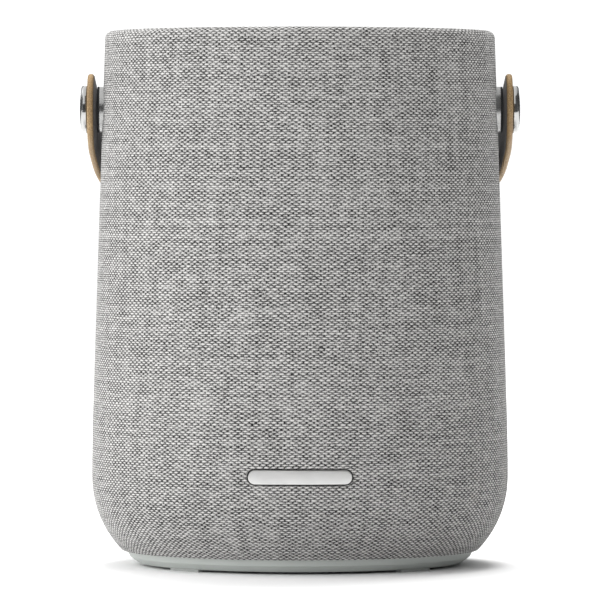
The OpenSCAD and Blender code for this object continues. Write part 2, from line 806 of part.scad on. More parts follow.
ring_edge_r = r_at(hem_z) - hem_step;                   // outer radius just under the fabric's edge
ring_draft = 0.78;                                      // how far the ring leans in, per unit of height
ring_foot_r = ring_edge_r - (hem_z - ring_z) * ring_draft;  // outer radius where the ring turns under
ring_bulge = 0.5;                                       // the ring's face is slightly convex
ring_chamfer = [0.8, 0.5];
plate_r = base_plate_d / 2;
ledge_in_r = plate_r - 4.5;
neck_r = r_at(hem_z, frame_in) - slack;
foot_mid_r = (plate_r + slack + ring_foot_r) / 2 + 0.25;
foot_pocket = 0.8;
base_screw_count = 4;
base_screw_places = [for (i = [0:base_screw_count - 1]) let (a = i * 360 / base_screw_count)
    (ledge_in_r + 2) * [cos(a), sin(a)]];
base_screw_bite = 1.5;                                  // depth of the screws in the enclosure's floor
dock_pad_t = 1.8;
contact_r = 1.8;
contact_clear = 0.1;
contact_sink = 0.2;                                     // contacts lie this deep in the pad
contact_pitch = 6;
contact_places = [for (i = [-1.5:1:1.5]) [i * contact_pitch, 0]];
foot_turns = [45, 135, 225, 315];

module base_ring() {
    mid = [(ring_edge_r + ring_foot_r) / 2 + ring_bulge, (hem_z + ring_z) / 2];
    color(plastic_grey) difference() {
        rotate_extrude() polygon([
            [plate_r + slack, ring_z], [ring_foot_r - ring_chamfer.x, ring_z],
            [ring_foot_r, ring_z + ring_chamfer.y], mid,
            [ring_edge_r, hem_z], [neck_r, hem_z], [neck_r, tub_floor_z], [ledge_in_r, tub_floor_z],
            [ledge_in_r, plate_top_z], [plate_r + slack, plate_top_z]]);
        for (turn = foot_turns) foot_block(turn, slack / 2, ring_z - past, past + foot_pocket);
        for (p = base_screw_places) bore(p, screw_r + screw_clear, 0, tub_floor_z + past);
    }
}

// Arc-shaped block centred on a direction
module foot_block(turn, grow, low, h) {
    reach = foot_arc + 2 * grow / foot_mid_r * 180 / PI;
    rotate(turn - reach / 2) rotate_extrude(angle = reach)
        translate([foot_mid_r - foot_w / 2 - grow, low]) square([foot_w + 2 * grow, h]);
}

module foot(index) color(plastic_grey * 0.93) foot_block(foot_turns[index], 0, 0, ring_z + foot_pocket);

module base_plate() {
    color(plastic_grey) difference() {
        translate([0, 0, plate_z]) cylinder(r = plate_r, h = base_plate_t);
        bore([0, 0], (dock_pad_d + slack) / 2, 0, ring_z + dock_pad_t);
        for (p = base_screw_places) {
            bore(p, screw_r + screw_clear, 0, plate_top_z + past);
            bore(p, screw_head_r + screw_clear, 0, plate_z + screw_head_h);
        }
    }
}

module base_screws() {
    seat_z = plate_z + screw_head_h;
    color(steel) for (p = base_screw_places)
        translate([p.x, p.y, seat_z]) mirror([0, 0, 1]) pan_screw(0, tub_floor_z + base_screw_bite - seat_z);
}

// Charging pad, flush with the base ring, with holes for its contacts
module dock_pad() {
    color(black) difference() {
        translate([0, 0, ring_z]) cylinder(d = dock_pad_d, h = dock_pad_t);
        for (p = contact_places) bore(p, contact_r + contact_clear, 0, ring_z + dock_pad_t + past);
    }
}

module dock_contacts() {
    color(brass) for (p = contact_places) bore(p, contact_r, ring_z + contact_sink, ring_z + dock_pad_t);
}

// ---------- top panel ----------

button_places = [[0, 0], [button_ring, 0], [-button_ring, 0], [0, button_ring], [0, -button_ring]];
function button_radius(i) = (i == 0 ? main_button_d : button_d) / 2;
deck_r = recess_r - slack / 2;
deck_edge = 0.4;                     // chamfer on the panel's border
deck_margin = 3;                     // flat border round the dish
dish_edge_r = deck_r - deck_margin;
dish_r = (pow(dish_edge_r, 2) + deck_dish * deck_dish) / (2 * deck_dish);
function deck_at(r) = deck_z - deck_dish + dish_r - sqrt(dish_r * dish_r - r * r);
light_r = 1;
light_clear = 0.1;
light_pitch = 5;
light_y = -38;
light_places = [for (i = [0:light_count - 1]) [(i - (light_count - 1) / 2) * light_pitch, light_y]];
mic_places = [[-30, light_y + 4], [30, light_y + 4]];
mic_r = 0.7;
button_lip = 1.1;                    // flange of a button beyond its cap
button_edge = 0.5;                   // rounding on a button's rim
tact_size = 6;
tact_plunger_r = 1.6;
tact_plunger_h = 0.5;

module control_deck() {
    low = deck_under_z - past;
    high = deck_z + past;
    color(plastic_grey) difference() {
        rotate_extrude() polygon(concat(
            [[0, deck_under_z], [deck_r, deck_under_z], [deck_r, deck_z - deck_edge],
             [deck_r - deck_edge, deck_z]],
            [for (i = [10:-1:0]) let (r = dish_edge_r * i / 10) [r, deck_at(r)]]));
        for (i = [0:4]) bore(button_places[i], button_radius(i) + button_clear, low, high);
        for (p = light_places) bore(p, light_r + light_clear, low, high);
        for (p = mic_places) bore(p, mic_r, low, high);
    }
}

// Push button: a crowned cap in the panel's hole, kept in by a flange below
module top_button(i, shade) {
    r = button_radius(i);
    top = deck_at(norm(button_places[i])) + button_proud;
    under = deck_under_z - button_seat;
    color(shade) translate([button_places[i].x, button_places[i].y, 0]) rotate_extrude() polygon([
        [0, under - button_flange_t], [r + button_lip, under - button_flange_t],
        [r + button_lip, under], [r, under], [r, top - button_edge],
        [r - button_edge, top - 0.1], [r * 0.5, top - 0.02], [0, top]]);
}

module button_board() {
    color(board_green) translate([0, 0, button_board_z]) cylinder(r = button_board_r, h = board_t);
}

module tact_switches() {
    low = button_board_z + board_t;
    color(steel) for (p = button_places) translate([p.x, p.y, low]) {
        translate([-tact_size / 2, -tact_size / 2, 0])
            cube([tact_size, tact_size, switch_h - tact_plunger_h]);
        cylinder(r = tact_plunger_r, h = switch_h);
    }
}

module light_guides() {
    low = button_board_z + board_t;
    color([0.9, 0.92, 0.95]) for (p = light_places) bore(p, light_r, low, deck_at(norm(p)));
}

// ---------- badge and rear port panel ----------

// Bare metal plate, bent to the body, seated on the grille frame through a cut-out in the fabric
module badge() {
    low = badge_z - badge_w;
    high = badge_z + badge_w;
    color(steel) intersection() {
        badge_cut(0);
        shell(-badge_proud, fabric_t, low, high);
    }
}

module port_panel() {
    color(plastic_grey) difference() {
        union() {
            to_rear(port_seat_y, port_z) linear_extrude(port_face_y - port_seat_y) port_outline(-slack);
            to_rear(port_seat_y, port_z) linear_extrude(port_flange_t) port_outline(port_flange);
        }
        to_rear(port_seat_y - past, port_z)
            linear_extrude(port_face_y - port_plate_t - port_seat_y + past) port_outline(-port_wall);
        to_rear(0, power_z) cylinder(r = power_r + button_clear, h = far);
        to_rear(0, usb_z) linear_extrude(far) capsule(usb_size.x + 2 * slack, usb_size.y + 2 * slack);
        to_rear(0, mute_z + mute_travel / 2) linear_extrude(far)
            rounded([mute_knob.x + 2 * slack, mute_knob.y + mute_travel + 2 * slack], 0.6);
    }
}

module port_board() {
    power_switch_h = port_flange_under - button_flange_t - press_gap - port_board_front_y;
    mute_body_h = port_flange_under - button_flange_t - mute_gap - port_board_front_y;
    color(board_green) difference() {
        to_rear(port_board_front_y - board_t, port_z) linear_extrude(board_t)
            rounded([port_cavity_w - 2 * slack, port_cavity_h - 2 * slack], 2);
        to_rear(0, usb_z) linear_extrude(far) capsule(usb_size.x + 0.1, usb_size.y + 0.1);
    }
    color(black) {
        to_rear(port_board_front_y, power_z)
            linear_extrude(power_switch_h) square(power_switch_w, center = true);
        to_rear(port_board_front_y, mute_z + mute_travel / 2)
            linear_extrude(mute_body_h) square(mute_body, center = true);
        // spacers down to the pocket's floor
        for (z = [-1, 1]) to_rear(pocket_floor_y, port_z + z * (port_cavity_h / 2 - spacer_inset))
            cylinder(r = spacer_r, h = port_board_front_y - board_t - pocket_floor_y);
    }
}

// Receptacle: a stadium-shaped metal shell with its tongue, open to the rear
module usb_c_socket() {
    rear_y = port_board_front_y - board_t;
    depth = port_face_y - usb_recess - rear_y;
    color(steel) difference() {
        to_rear(rear_y, usb_z) linear_extrude(depth) capsule(usb_size.x, usb_size.y);
        to_rear(rear_y + usb_back, usb_z) linear_extrude(depth)
            capsule(usb_size.x - 2 * usb_wall, usb_size.y - 2 * usb_wall);
    }
    // the tongue starts inside the back wall
    color(black) to_rear(rear_y + usb_back - slack, usb_z)
        linear_extrude(depth - usb_back - usb_tongue_recess) square(usb_tongue, center = true);
}

module power_button() {
    low = port_flange_under - button_flange_t;
    flange_r = power_r + 1;
    color(dark_grey) to_rear(0, power_z) rotate_extrude() polygon([
        [0, low], [flange_r, low], [flange_r, port_flange_under], [power_r, port_flange_under],
        [power_r, port_face_y], [power_r - power_proud, port_face_y + power_proud],
        [0, port_face_y + power_proud]]);
}

module mute_slider() {
    back_y = port_flange_under - button_flange_t;
    color(dark_grey) {
        to_rear(back_y, mute_z) linear_extrude(button_flange_t)
            square(mute_knob + 2 * [mute_lip, mute_lip], center = true);
        to_rear(back_y, mute_z) linear_extrude(port_face_y + 0.2 - back_y) rounded(mute_knob, 0.5);
        for (z = [-1:1]) to_rear(port_face_y, mute_z + z * mute_knob.y / 4)
            linear_extrude(mute_rib + slack) square([mute_knob.x - 2 * slack, mute_rib], center = true);
    }
}

// ---------- pivots and strap ----------

module pivot_boss() {
    color(steel) difference() {
        on_pivot(recess_r) cylinder(r = boss_r, h = boss_x - recess_r);
        core(fabric_t, pivot_z - boss_d, pivot_z + boss_d);
        on_pivot(0) cylinder(r = bore_r, h = far);
    }
}

module pivot_pin() color(steel) on_pivot(pin_in_x) cylinder(r = pin_r, h = cap_x + cap_socket - pin_in_x);

module strap_washer() color(black) on_pivot(washer_x) tube(bore_r, boss_r, washer_t);

// Head with a domed face, a round shoulder and a recessed seat for the pin
module rivet_cap() {
    seat_r = pin_r + cap_seat_clear;
    face_r = cap_r - cap_shoulder;
    half = asin(face_r / cap_dome);
    shoulder_z = cap_h - cap_dome * (1 - cos(half)) - cap_shoulder;
    color(steel) on_pivot(cap_x) rotate_extrude() polygon(concat(
        [[0, cap_socket], [seat_r, cap_socket], [seat_r, 0], [cap_r - cap_foot, 0], [cap_r, cap_foot]],
        arc([face_r, shoulder_z], cap_shoulder, 0, 75, 4),
        arc([0, cap_h - cap_dome], cap_dome, 90 - half, 90, 4)));
}

module in_strap_plane() translate([0, 0, pivot_z]) rotate([-hang_angle, 0, 0]) children();

// One layer of the strap: x_in and t place it across the strap, w is its width.
// Two straight ends with round tips, two leaning stretches, and one round loop between them.
module strap_layer(x_in, t, w) {
    x_out = x_in + t;
    radius_out = loop_r - (strap_out_x - x_out);
    // the same corner of the bend on both faces, so the layer keeps its thickness
    function bend_s(x) = strap_flat - (strap_out_x - x) * tan(strap_lean / 2);
    function tangent(r) = [r * cos(strap_lean), loop_c + r * sin(strap_lean)];
    // a point inside the loop's end, so that both stretches overlap and join as one solid
    tongue = tangent(radius_out - t / 2) + [0, t / 2];
    function beyond(a) = [0, loop_c] + far * [cos(a), sin(a)];
    in_strap_plane() difference() {
        union() {
            translate([0, 0, -w / 2]) linear_extrude(w) union() {
                difference() {
                    intersection() {
                        translate([0, loop_c]) circle(r = radius_out);
                        polygon([[0, loop_c], beyond(strap_lean), [far, 2 * far], [-far, 2 * far],
                                 beyond(180 - strap_lean)]);
                    }
                    translate([0, loop_c]) circle(r = radius_out - t);
                }
                for (side = [0, 1]) mirror([side, 0]) polygon([
                    [x_out, 0], [x_out, bend_s(x_out)], tangent(radius_out), tongue,
                    tangent(radius_out - t), [x_in, bend_s(x_in)], [x_in, 0]]);
            }
            for (side = [0, 1]) mirror([side, 0, 0])
                translate([x_in, 0, 0]) rotate([0, 90, 0]) rotate(180) half_disc(w / 2, t);
        }
        rotate([0, 90, 0]) cylinder(r = eyelet_r, h = far, center = true);
    }
}

module strap_leather() color(tan) strap_layer(strap_x + lining_t, leather_t, strap_w);

module strap_lining() color(black) strap_layer(strap_x, lining_t, strap_w - 2 * lining_inset);

module strap_eyelet() color(steel) on_pivot(strap_x) tube(bore_r, eyelet_r, strap_t);

fabric_sleeve();
grille_frame();
enclosure_tub();
enclosure_lid();
front_baffle();
baffle_gasket();
woofer_basket();
woofer_cone();
woofer_surround();
woofer_dust_cap();
woofer_spider();
voice_coil();
woofer_magnet();
woofer_yoke();
woofer_top_plate();
tweeter_faceplate();
tweeter_dome();
tweeter_magnet();
driver_screws();
battery_holder();
battery_cells();
main_board();
heat_sink();
base_ring();
base_plate();
base_screws();
dock_pad();
dock_contacts();
foot(3);  // foot_front_right
foot(0);  // foot_rear_right
foot(1);  // foot_rear_left
foot(2);  // foot_front_left
control_deck();
button_board();
tact_switches();
light_guides();
badge();
port_panel();
port_board();
usb_c_socket();
pivot_boss();  // pivot_boss_right
left_side() pivot_boss();  // pivot_boss_left
pivot_pin();  // pivot_pin_right
left_side() pivot_pin();  // pivot_pin_left
rivet_cap();  // rivet_cap_right
left_side() rivet_cap();  // rivet_cap_left
strap_washer();  // strap_washer_right
left_side() strap_washer();  // strap_washer_left
strap_leather();
strap_lining();
strap_eyelet();  // strap_eyelet_right
left_side() strap_eyelet();  // strap_eyelet_left
top_button(0, dark_grey);  // play_button
top_button(1, plastic_grey * 0.8);  // volume_up_button
top_button(2, plastic_grey * 0.8);  // volume_down_button
top_button(3, plastic_grey * 0.8);  // pairing_button
top_button(4, plastic_grey * 0.8);  // assistant_button
power_button();
mute_slider();
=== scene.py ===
"""Looks of the portable smart speaker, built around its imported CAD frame.

Lengths are in metres in the frame's own axes: the badge faces -Y, the strap hangs behind at +Y, +Z is up.
"""

import json
import math

import bmesh
import bpy
import numpy as np
from mathutils import Matrix, Vector


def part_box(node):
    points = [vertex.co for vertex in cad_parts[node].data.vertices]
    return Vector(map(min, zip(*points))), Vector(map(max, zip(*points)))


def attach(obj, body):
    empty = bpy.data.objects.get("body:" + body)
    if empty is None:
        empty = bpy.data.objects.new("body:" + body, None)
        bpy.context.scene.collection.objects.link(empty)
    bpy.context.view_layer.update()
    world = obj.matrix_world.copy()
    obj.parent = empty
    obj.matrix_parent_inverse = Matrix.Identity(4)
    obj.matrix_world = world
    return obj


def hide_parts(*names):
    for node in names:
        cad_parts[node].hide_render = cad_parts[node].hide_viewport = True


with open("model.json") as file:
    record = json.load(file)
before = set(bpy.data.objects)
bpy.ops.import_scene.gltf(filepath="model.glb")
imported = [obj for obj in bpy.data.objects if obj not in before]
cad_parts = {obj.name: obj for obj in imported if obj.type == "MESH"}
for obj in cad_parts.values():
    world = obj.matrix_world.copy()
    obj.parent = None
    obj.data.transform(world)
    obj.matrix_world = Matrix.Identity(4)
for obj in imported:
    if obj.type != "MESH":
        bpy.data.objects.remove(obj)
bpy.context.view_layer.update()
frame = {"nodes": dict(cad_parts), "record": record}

MM = 0.001

# ---------- sizes: the CAD model's driving dimensions, and what the frame gives ----------

sleeve_low, sleeve_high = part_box("fabric_sleeve")
BODY_R = sleeve_high.x
BODY_H = sleeve_high.z
HEM_Z = sleeve_low.z
BELLY_Z = 28.5 * MM
TOP_R = 62.7 * MM
BASE_ROUND = 34 * MM
FLANK_ROUND = 600 * MM
RIM_ROUND = 2.4 * MM
RIM_W = 5.9 * MM
FABRIC_T = 1.2 * MM
DECK_UNDER = 5.8 * MM  # from the rim top to the foot of the sleeve's inner wall

RECESS_R = TOP_R - RIM_W
base_c = Vector((BODY_R - BASE_ROUND, BELLY_Z))
flank_c = Vector((BODY_R - FLANK_ROUND, BELLY_Z))
rim_c = Vector((TOP_R - RIM_ROUND, BODY_H - RIM_ROUND))
to_rim = rim_c - flank_c
FLANK_LEAN = math.atan2(to_rim.y, to_rim.x) - math.acos((FLANK_ROUND - RIM_ROUND) / to_rim.length)
FLANK_END_Z = BELLY_Z + FLANK_ROUND * math.sin(FLANK_LEAN)


def outline_r(z):
    """Radius of the fabric's outer surface at height z."""
    if z < BELLY_Z:
        return base_c.x + math.sqrt(BASE_ROUND**2 - (BELLY_Z - z) ** 2)
    if z < FLANK_END_Z:
        return flank_c.x + math.sqrt(FLANK_ROUND**2 - (z - BELLY_Z) ** 2)
    return flank_c.x + (FLANK_ROUND - (z - BELLY_Z) * math.sin(FLANK_LEAN)) / math.cos(FLANK_LEAN)


# ---------- procedural finishes ----------

MIX_A, MIX_B, MIX_RESULT = 6, 7, 2  # the Mix node's sockets that carry colours


class Nodes:
    """Writes a node tree as plain sums."""

    def __init__(self, tree):
        self.tree = tree

    def feed(self, socket, value):
        if isinstance(value, bpy.types.NodeSocket):
            self.tree.links.new(value, socket)
        elif hasattr(value, "__len__") and len(value) == 3 and socket.type == "RGBA":
            socket.default_value = (*value, 1)
        else:
            socket.default_value = value

    def node(self, kind, inputs=(), output=0, **settings):
        made = self.tree.nodes.new("ShaderNode" + kind)
        for key, value in settings.items():
            setattr(made, key, value)
        for key, value in dict(inputs).items():
            self.feed(made.inputs[key], value)
        return made.outputs[output]

    def math(self, operation, a, b=0.0, c=0.0):
        return self.node("Math", {0: a, 1: b, 2: c}, operation=operation)

    def place(self, scale=(1, 1, 1)):
        """Object coordinates in millimetres, scaled."""
        at = self.node("TexCoord", output="Object")
        return self.node("Mapping", {"Vector": at, "Scale": tuple(s / MM for s in scale)})

    def noise(self, at, scale, detail=2.0, rough=0.5):
        """Smooth noise from 0 to 1, with features about 1/scale apart."""
        found = {"Vector": at, "Scale": scale, "Detail": detail, "Roughness": rough}
        return self.node("TexNoise", found)

    def ramp(self, value, low, high, to_low=0.0, to_high=1.0, smooth=True):
        """value mapped from low..high to to_low..to_high, clamped."""
        ends = {"Value": value, "From Min": low, "From Max": high, "To Min": to_low, "To Max": to_high}
        kind = "SMOOTHSTEP" if smooth else "LINEAR"
        return self.node("MapRange", ends, interpolation_type=kind)

    def mix(self, share, a, b):
        """Colour a, b or between."""
        made = self.tree.nodes.new("ShaderNodeMix")
        made.data_type = "RGBA"
        self.feed(made.inputs["Factor"], share)
        self.feed(made.inputs[MIX_A], a)
        self.feed(made.inputs[MIX_B], b)
        return made.outputs[MIX_RESULT]

    def scaled(self, at, factors):
        """A place or map with each of its axes multiplied."""
        return self.node("VectorMath", {0: at, 1: factors}, operation="MULTIPLY")

    def varied(self, value, share, amount):
        """value, raised or lowered by half an amount where share is 1 or 0."""
        return self.math("MULTIPLY_ADD", share, amount, self.math("ADD", value, -amount / 2))

    def bump(self, height, distance):
        return self.node("Bump", {"Height": height, "Distance": distance, "Strength": 1.0})


class Finish(Nodes):
    """A procedural material: its values are worked out node by node and end in one Principled shader."""

    def __init__(self, name, **constants):
        self.material = bpy.data.materials.new(name)
        self.material.use_nodes = True
        super().__init__(self.material.node_tree)
        self.shader = self.tree.nodes["Principled BSDF"]
        for socket, value in constants.items():
            self.feed(self.shader.inputs[socket.replace("_", " ")], value)

    def done(self, colour, roughness=None, normal=None):
        self.feed(self.shader.inputs["Base Color"], colour)
        if roughness is not None:
            self.feed(self.shader.inputs["Roughness"], roughness)
        if normal is not None:
            self.feed(self.shader.inputs["Normal"], normal)
        return self.material


def moulded(name, colour, rough=0.5, grain=0.02, mottle=0.06, **constants):
    """Moulded plastic, rubber or foam: a spark-eroded grain with faint clouds of tone."""
    f = Finish(name, **constants)
    at = f.place()
    fine = f.noise(at, 3.2, detail=3, rough=0.6)
    cloud = f.noise(at, 0.05, detail=2)
    share = f.ramp(f.math("MULTIPLY_ADD", fine, 0.35, f.math("MULTIPLY", cloud, 0.65)), 0.3, 0.7)
    dark = tuple(c * (1 - mottle) for c in colour)
    light = tuple(min(1, c * (1 + mottle)) for c in colour)
    roughness = f.ramp(fine, 0.3, 0.7, rough - 0.05, rough + 0.06)
    return f.done(f.mix(share, dark, light), roughness, f.bump(fine, grain * MM))


def metal(name, colour, rough, brushed=(1, 1, 1), scratch=0.004, **constants):
    """Bare or plated metal. brushed squeezes the scratches along one axis."""
    f = Finish(name, Metallic=1.0, **constants)
    lines = f.noise(f.place(brushed), 6, detail=4, rough=0.6)
    cloud = f.noise(f.place(), 0.12, detail=2)
    dark = tuple(c * 0.9 for c in colour)
    tone = f.ramp(f.math("MULTIPLY_ADD", lines, 0.5, f.math("MULTIPLY", cloud, 0.5)), 0.3, 0.7)
    roughness = f.ramp(lines, 0.25, 0.75, rough * 0.75, rough * 1.3)
    return f.done(f.mix(tone, dark, colour), roughness, f.bump(lines, scratch * MM))


COLUMNS = 184  # dashes round the body
ROW_PITCH = 0.694 * MM
TONE_LOW, TONE_HIGH = -0.53, 0.70
# the dark colour is dark yarn and also painted shade in the weave's hollows between the dashes
DARK_YARN_AND_GAP_SHADE, YARN_LIGHT = (0.010, 0.010, 0.010), (0.60, 0.592, 0.58)


def woven_fabric():
    """Melange fabric: rows of light dashes, each row half a dash along from the last, over dark yarn and
    painted shade in the hollows between the dashes.

    The map "weave" counts dashes round the body and rows up it.
    """
    f = Finish("woven_fabric", Sheen_Weight=0.22, Sheen_Roughness=0.25, Specular_IOR_Level=0.2)
    uv = f.node("UVMap", uv_map="weave")
    split = f.node("SeparateXYZ", {0: uv}).node
    raw_u, raw_v = split.outputs[0], split.outputs[1]
    # the yarns wander a little, along and across
    wander = f.noise(f.scaled(uv, (0.35, 0.35, 0)), 1.0, detail=1)
    u = f.math("MULTIPLY_ADD", wander, 0.12, raw_u)
    sway = f.noise(f.scaled(uv, (0.13, 0.3, 0)), 1.0, detail=1)
    v = f.math("MULTIPLY_ADD", sway, 0.9, raw_v)
    row = f.math("FLOOR", f.math("ADD", v, 0.5))
    shifted = f.math("ADD", f.math("FRACT", f.math("MULTIPLY", row, 0.5)), u)
    column = f.math("FLOOR", f.math("ADD", shifted, 0.5))
    across = f.math("COSINE", f.math("MULTIPLY", f.math("SUBTRACT", shifted, column), 2 * math.pi))
    up = f.math("COSINE", f.math("MULTIPLY", f.math("SUBTRACT", v, row), math.pi))
    rows = f.math("COSINE", f.math("MULTIPLY", v, 2 * math.pi))
    # from about -1 in a gap to 1 on top of a dash
    dash = f.math("MULTIPLY_ADD", f.math("MULTIPLY", across, up), 0.62, f.math("MULTIPLY", rows, 0.32))

    # no two dashes, rows or columns are quite alike, and no dash is one tone from end to end
    each = f.node("TexWhiteNoise", {0: f.node("CombineXYZ", {0: column, 1: row})}, noise_dimensions="2D")
    thread = f.node("TexWhiteNoise", {1: row}, noise_dimensions="1D")
    fleck = f.noise(f.scaled(uv, (4.2, 1.4, 0)), 1.0, detail=2, rough=0.7)
    along = f.node("CombineXYZ", {0: f.math("MULTIPLY", u, 0.045), 1: f.math("MULTIPLY", row, 0.773)})
    upwards = f.node("CombineXYZ", {0: f.math("MULTIPLY", u, 0.7), 1: f.math("MULTIPLY", v, 0.02)})
    slub_along = f.noise(along, 1.0, detail=1)
    slub_upwards = f.noise(upwards, 1.0, detail=1)
    melange = dash
    for share, amount in (
        (each, 0.29), (thread, 0.12), (fleck, 2.2), (slub_along, 0.16), (slub_upwards, 0.28),
    ):
        melange = f.varied(melange, share, amount)
    # the gaps take the dark colour: dark yarn, and painted shade where the hollows between the dashes would
    # lie in shadow
    colour = f.mix(f.ramp(melange, TONE_LOW, TONE_HIGH, smooth=False), DARK_YARN_AND_GAP_SHADE, YARN_LIGHT)

    fibre = f.noise(f.place(), 9.0, detail=2)
    height = f.math("MULTIPLY_ADD", fibre, 0.25, dash)
    return f.done(colour, 0.85, f.bump(height, 0.16 * MM))


def leather():
    """Vegetable-tanned leather: pebbled grain, pores and a slow drift of tan and brown."""
    f = Finish("tan_leather", Specular_IOR_Level=0.4)
    at = f.place()
    cells = {"Vector": at, "Scale": 1.4}
    pebble = f.node("TexVoronoi", cells, feature="DISTANCE_TO_EDGE", output="Distance")
    crease = f.ramp(pebble, 0.0, 0.22)
    fine = f.noise(at, 4.0, detail=4, rough=0.6)
    cloud = f.noise(at, 0.09, detail=3)
    share = f.math("MULTIPLY_ADD", fine, 0.4, f.math("MULTIPLY", cloud, 0.6))
    tan = f.mix(f.ramp(share, 0.3, 0.7), (0.25, 0.162, 0.078), (0.39, 0.272, 0.134))
    colour = f.mix(crease, (0.205, 0.13, 0.058), tan)
    height = f.math("MULTIPLY_ADD", crease, 0.6, f.math("MULTIPLY", fine, 0.4))
    return f.done(colour, f.ramp(fine, 0.3, 0.7, 0.42, 0.6), f.bump(height, 0.05 * MM))


def lining():
    """Dark suede-like lining."""
    f = Finish("strap_lining", Sheen_Weight=0.15, Sheen_Roughness=0.5)
    at = f.place()
    nap = f.noise(at, 5.0, detail=4, rough=0.7)
    cloud = f.noise(at, 0.15, detail=2)
    share = f.ramp(f.math("MULTIPLY_ADD", nap, 0.5, f.math("MULTIPLY", cloud, 0.5)), 0.3, 0.7)
    colour = f.mix(share, (0.032, 0.028, 0.027), (0.075, 0.066, 0.062))
    return f.done(colour, 0.8, f.bump(nap, 0.05 * MM))


def circuit_board():
    """Green solder mask with fine copper tracks under it."""
    f = Finish("circuit_board", Coat_Weight=0.4, Coat_Roughness=0.2)
    at = f.place()
    tracks = f.node("TexBrick", {"Vector": at, "Scale": 0.35, "Mortar Size": 0.04}, output="Fac")
    speck = f.noise(at, 1.5, detail=2)
    green = f.mix(speck, (0.012, 0.09, 0.045), (0.02, 0.13, 0.065))
    return f.done(f.mix(tracks, green, (0.05, 0.2, 0.09)), 0.45, f.bump(tracks, 0.02 * MM))


GREY = (0.435, 0.46, 0.44)

finishes = {
    "woven_fabric": woven_fabric(),
    "tan_leather": leather(),
    "strap_lining": lining(),
    "base_plastic": moulded("base_plastic", GREY, 0.48, mottle=0.03),
    "deck_plastic": moulded("deck_plastic", (0.235, 0.245, 0.24), 0.5, mottle=0.015),
    "black_plastic": moulded("black_plastic", (0.012, 0.012, 0.013), 0.55),
    "button_plastic": moulded("button_plastic", (0.17, 0.175, 0.17), 0.42, mottle=0.02),
    "dark_plastic": moulded("dark_plastic", (0.035, 0.035, 0.037), 0.5),
    "clear_plastic": moulded("clear_plastic", (0.8, 0.82, 0.85), 0.2, mottle=0.02, Transmission_Weight=0.5),
    "polished_steel": metal("polished_steel", (0.47, 0.47, 0.465), 0.12, scratch=0.0012),
    "satin_steel": metal("satin_steel", (0.40, 0.40, 0.395), 0.3, brushed=(8, 0.6, 0.6)),
    "badge_metal": metal("badge_metal", (0.80, 0.80, 0.79), 0.50, brushed=(0.5, 1, 8)),
    "rubber_foot": moulded("rubber_foot", (0.30, 0.31, 0.30), 0.7),
    "rubber_black": moulded("rubber_black", (0.02, 0.02, 0.02), 0.75),
    "foam": moulded("foam", (0.03, 0.03, 0.03), 0.95, grain=0.2),
    "paper_cone": moulded("paper_cone", (0.03, 0.03, 0.032), 0.8, grain=0.08, mottle=0.2),
    "spider_cloth": moulded("spider_cloth", (0.5, 0.33, 0.12), 0.9, grain=0.1, mottle=0.15),
    "copper_coil": metal("copper_coil", (0.85, 0.42, 0.25), 0.3, brushed=(0.3, 8, 0.3)),
    "ferrite": moulded("ferrite", (0.045, 0.045, 0.048), 0.65, grain=0.06),
    "zinc_steel": metal("zinc_steel", (0.62, 0.63, 0.64), 0.35),
    "battery_wrap": moulded("battery_wrap", (0.03, 0.12, 0.3), 0.35, grain=0.01),
    "circuit_board": circuit_board(),
    "heat_sink_metal": metal("heat_sink_metal", (0.2, 0.2, 0.21), 0.45, brushed=(0.4, 0.4, 6)),
    "contact_brass": metal("contact_brass", (0.85, 0.65, 0.3), 0.2),
}


def dress(obj, slot):
    """Gives a piece or a CAD node the finish of a material slot."""
    obj.data.materials.clear()
    obj.data.materials.append(finishes[slot])
    return obj


for part in frame["record"]["subparts"]:
    dress(frame["nodes"][part["node"]], part["material_slot"])

# ---------- mesh helpers ----------


CREASE_ANGLE = math.radians(40)


def shade(mesh, crease_angle=CREASE_ANGLE):
    """Shades a mesh smooth, but for creases sharper than an angle."""
    mesh.shade_smooth()
    mesh.set_sharp_from_angle(angle=crease_angle)


def arc(centre, radius, start, end, steps):
    """Points on an arc, with its angles in degrees."""
    angles = [math.radians(start + (end - start) * i / steps) for i in range(steps + 1)]
    return [Vector((centre[0] + radius * math.cos(a), centre[1] + radius * math.sin(a))) for a in angles]


def mesh_object(name, vertices, faces, slot=None, flat=False):
    """Linked object of a mesh, with the finish of a slot if one is given."""
    mesh = bpy.data.meshes.new(name)
    mesh.from_pydata([tuple(v) for v in vertices], [], faces)
    mesh.validate()
    if not flat:
        shade(mesh)
    obj = bpy.data.objects.new(name, mesh)
    bpy.context.scene.collection.objects.link(obj)
    if slot:
        dress(obj, slot)
    return obj


SAME_POINT = 0.2e-6  # points closer together than this are one


def welded(obj):
    """Merges points that coincide and turns the faces outwards."""
    work = bmesh.new()
    work.from_mesh(obj.data)
    bmesh.ops.remove_doubles(work, verts=work.verts, dist=SAME_POINT)
    bmesh.ops.dissolve_degenerate(work, edges=work.edges, dist=SAME_POINT)
    bmesh.ops.recalc_face_normals(work, faces=work.faces)
    work.to_mesh(obj.data)
    work.free()
    shade(obj.data)
    return obj


def rows_of_faces(rows, n):
    """Faces between rows of n points each, every row closed on itself."""
    return [
        (k * n + i, k * n + (i + 1) % n, (k + 1) * n + (i + 1) % n, (k + 1) * n + i)
        for k in range(rows - 1)
        for i in range(n)
    ]


def revolve(name, profile, slot, place, segments=96):
    """Solid turned round local Z from [radius, height] points, starting and ending on the axis."""
    turns = [2 * math.pi * i / segments for i in range(segments)]
    vertices = [place(Vector((r * math.cos(a), r * math.sin(a), h))) for r, h in profile for a in turns]
    return welded(mesh_object(name, vertices, rows_of_faces(len(profile), segments), slot))


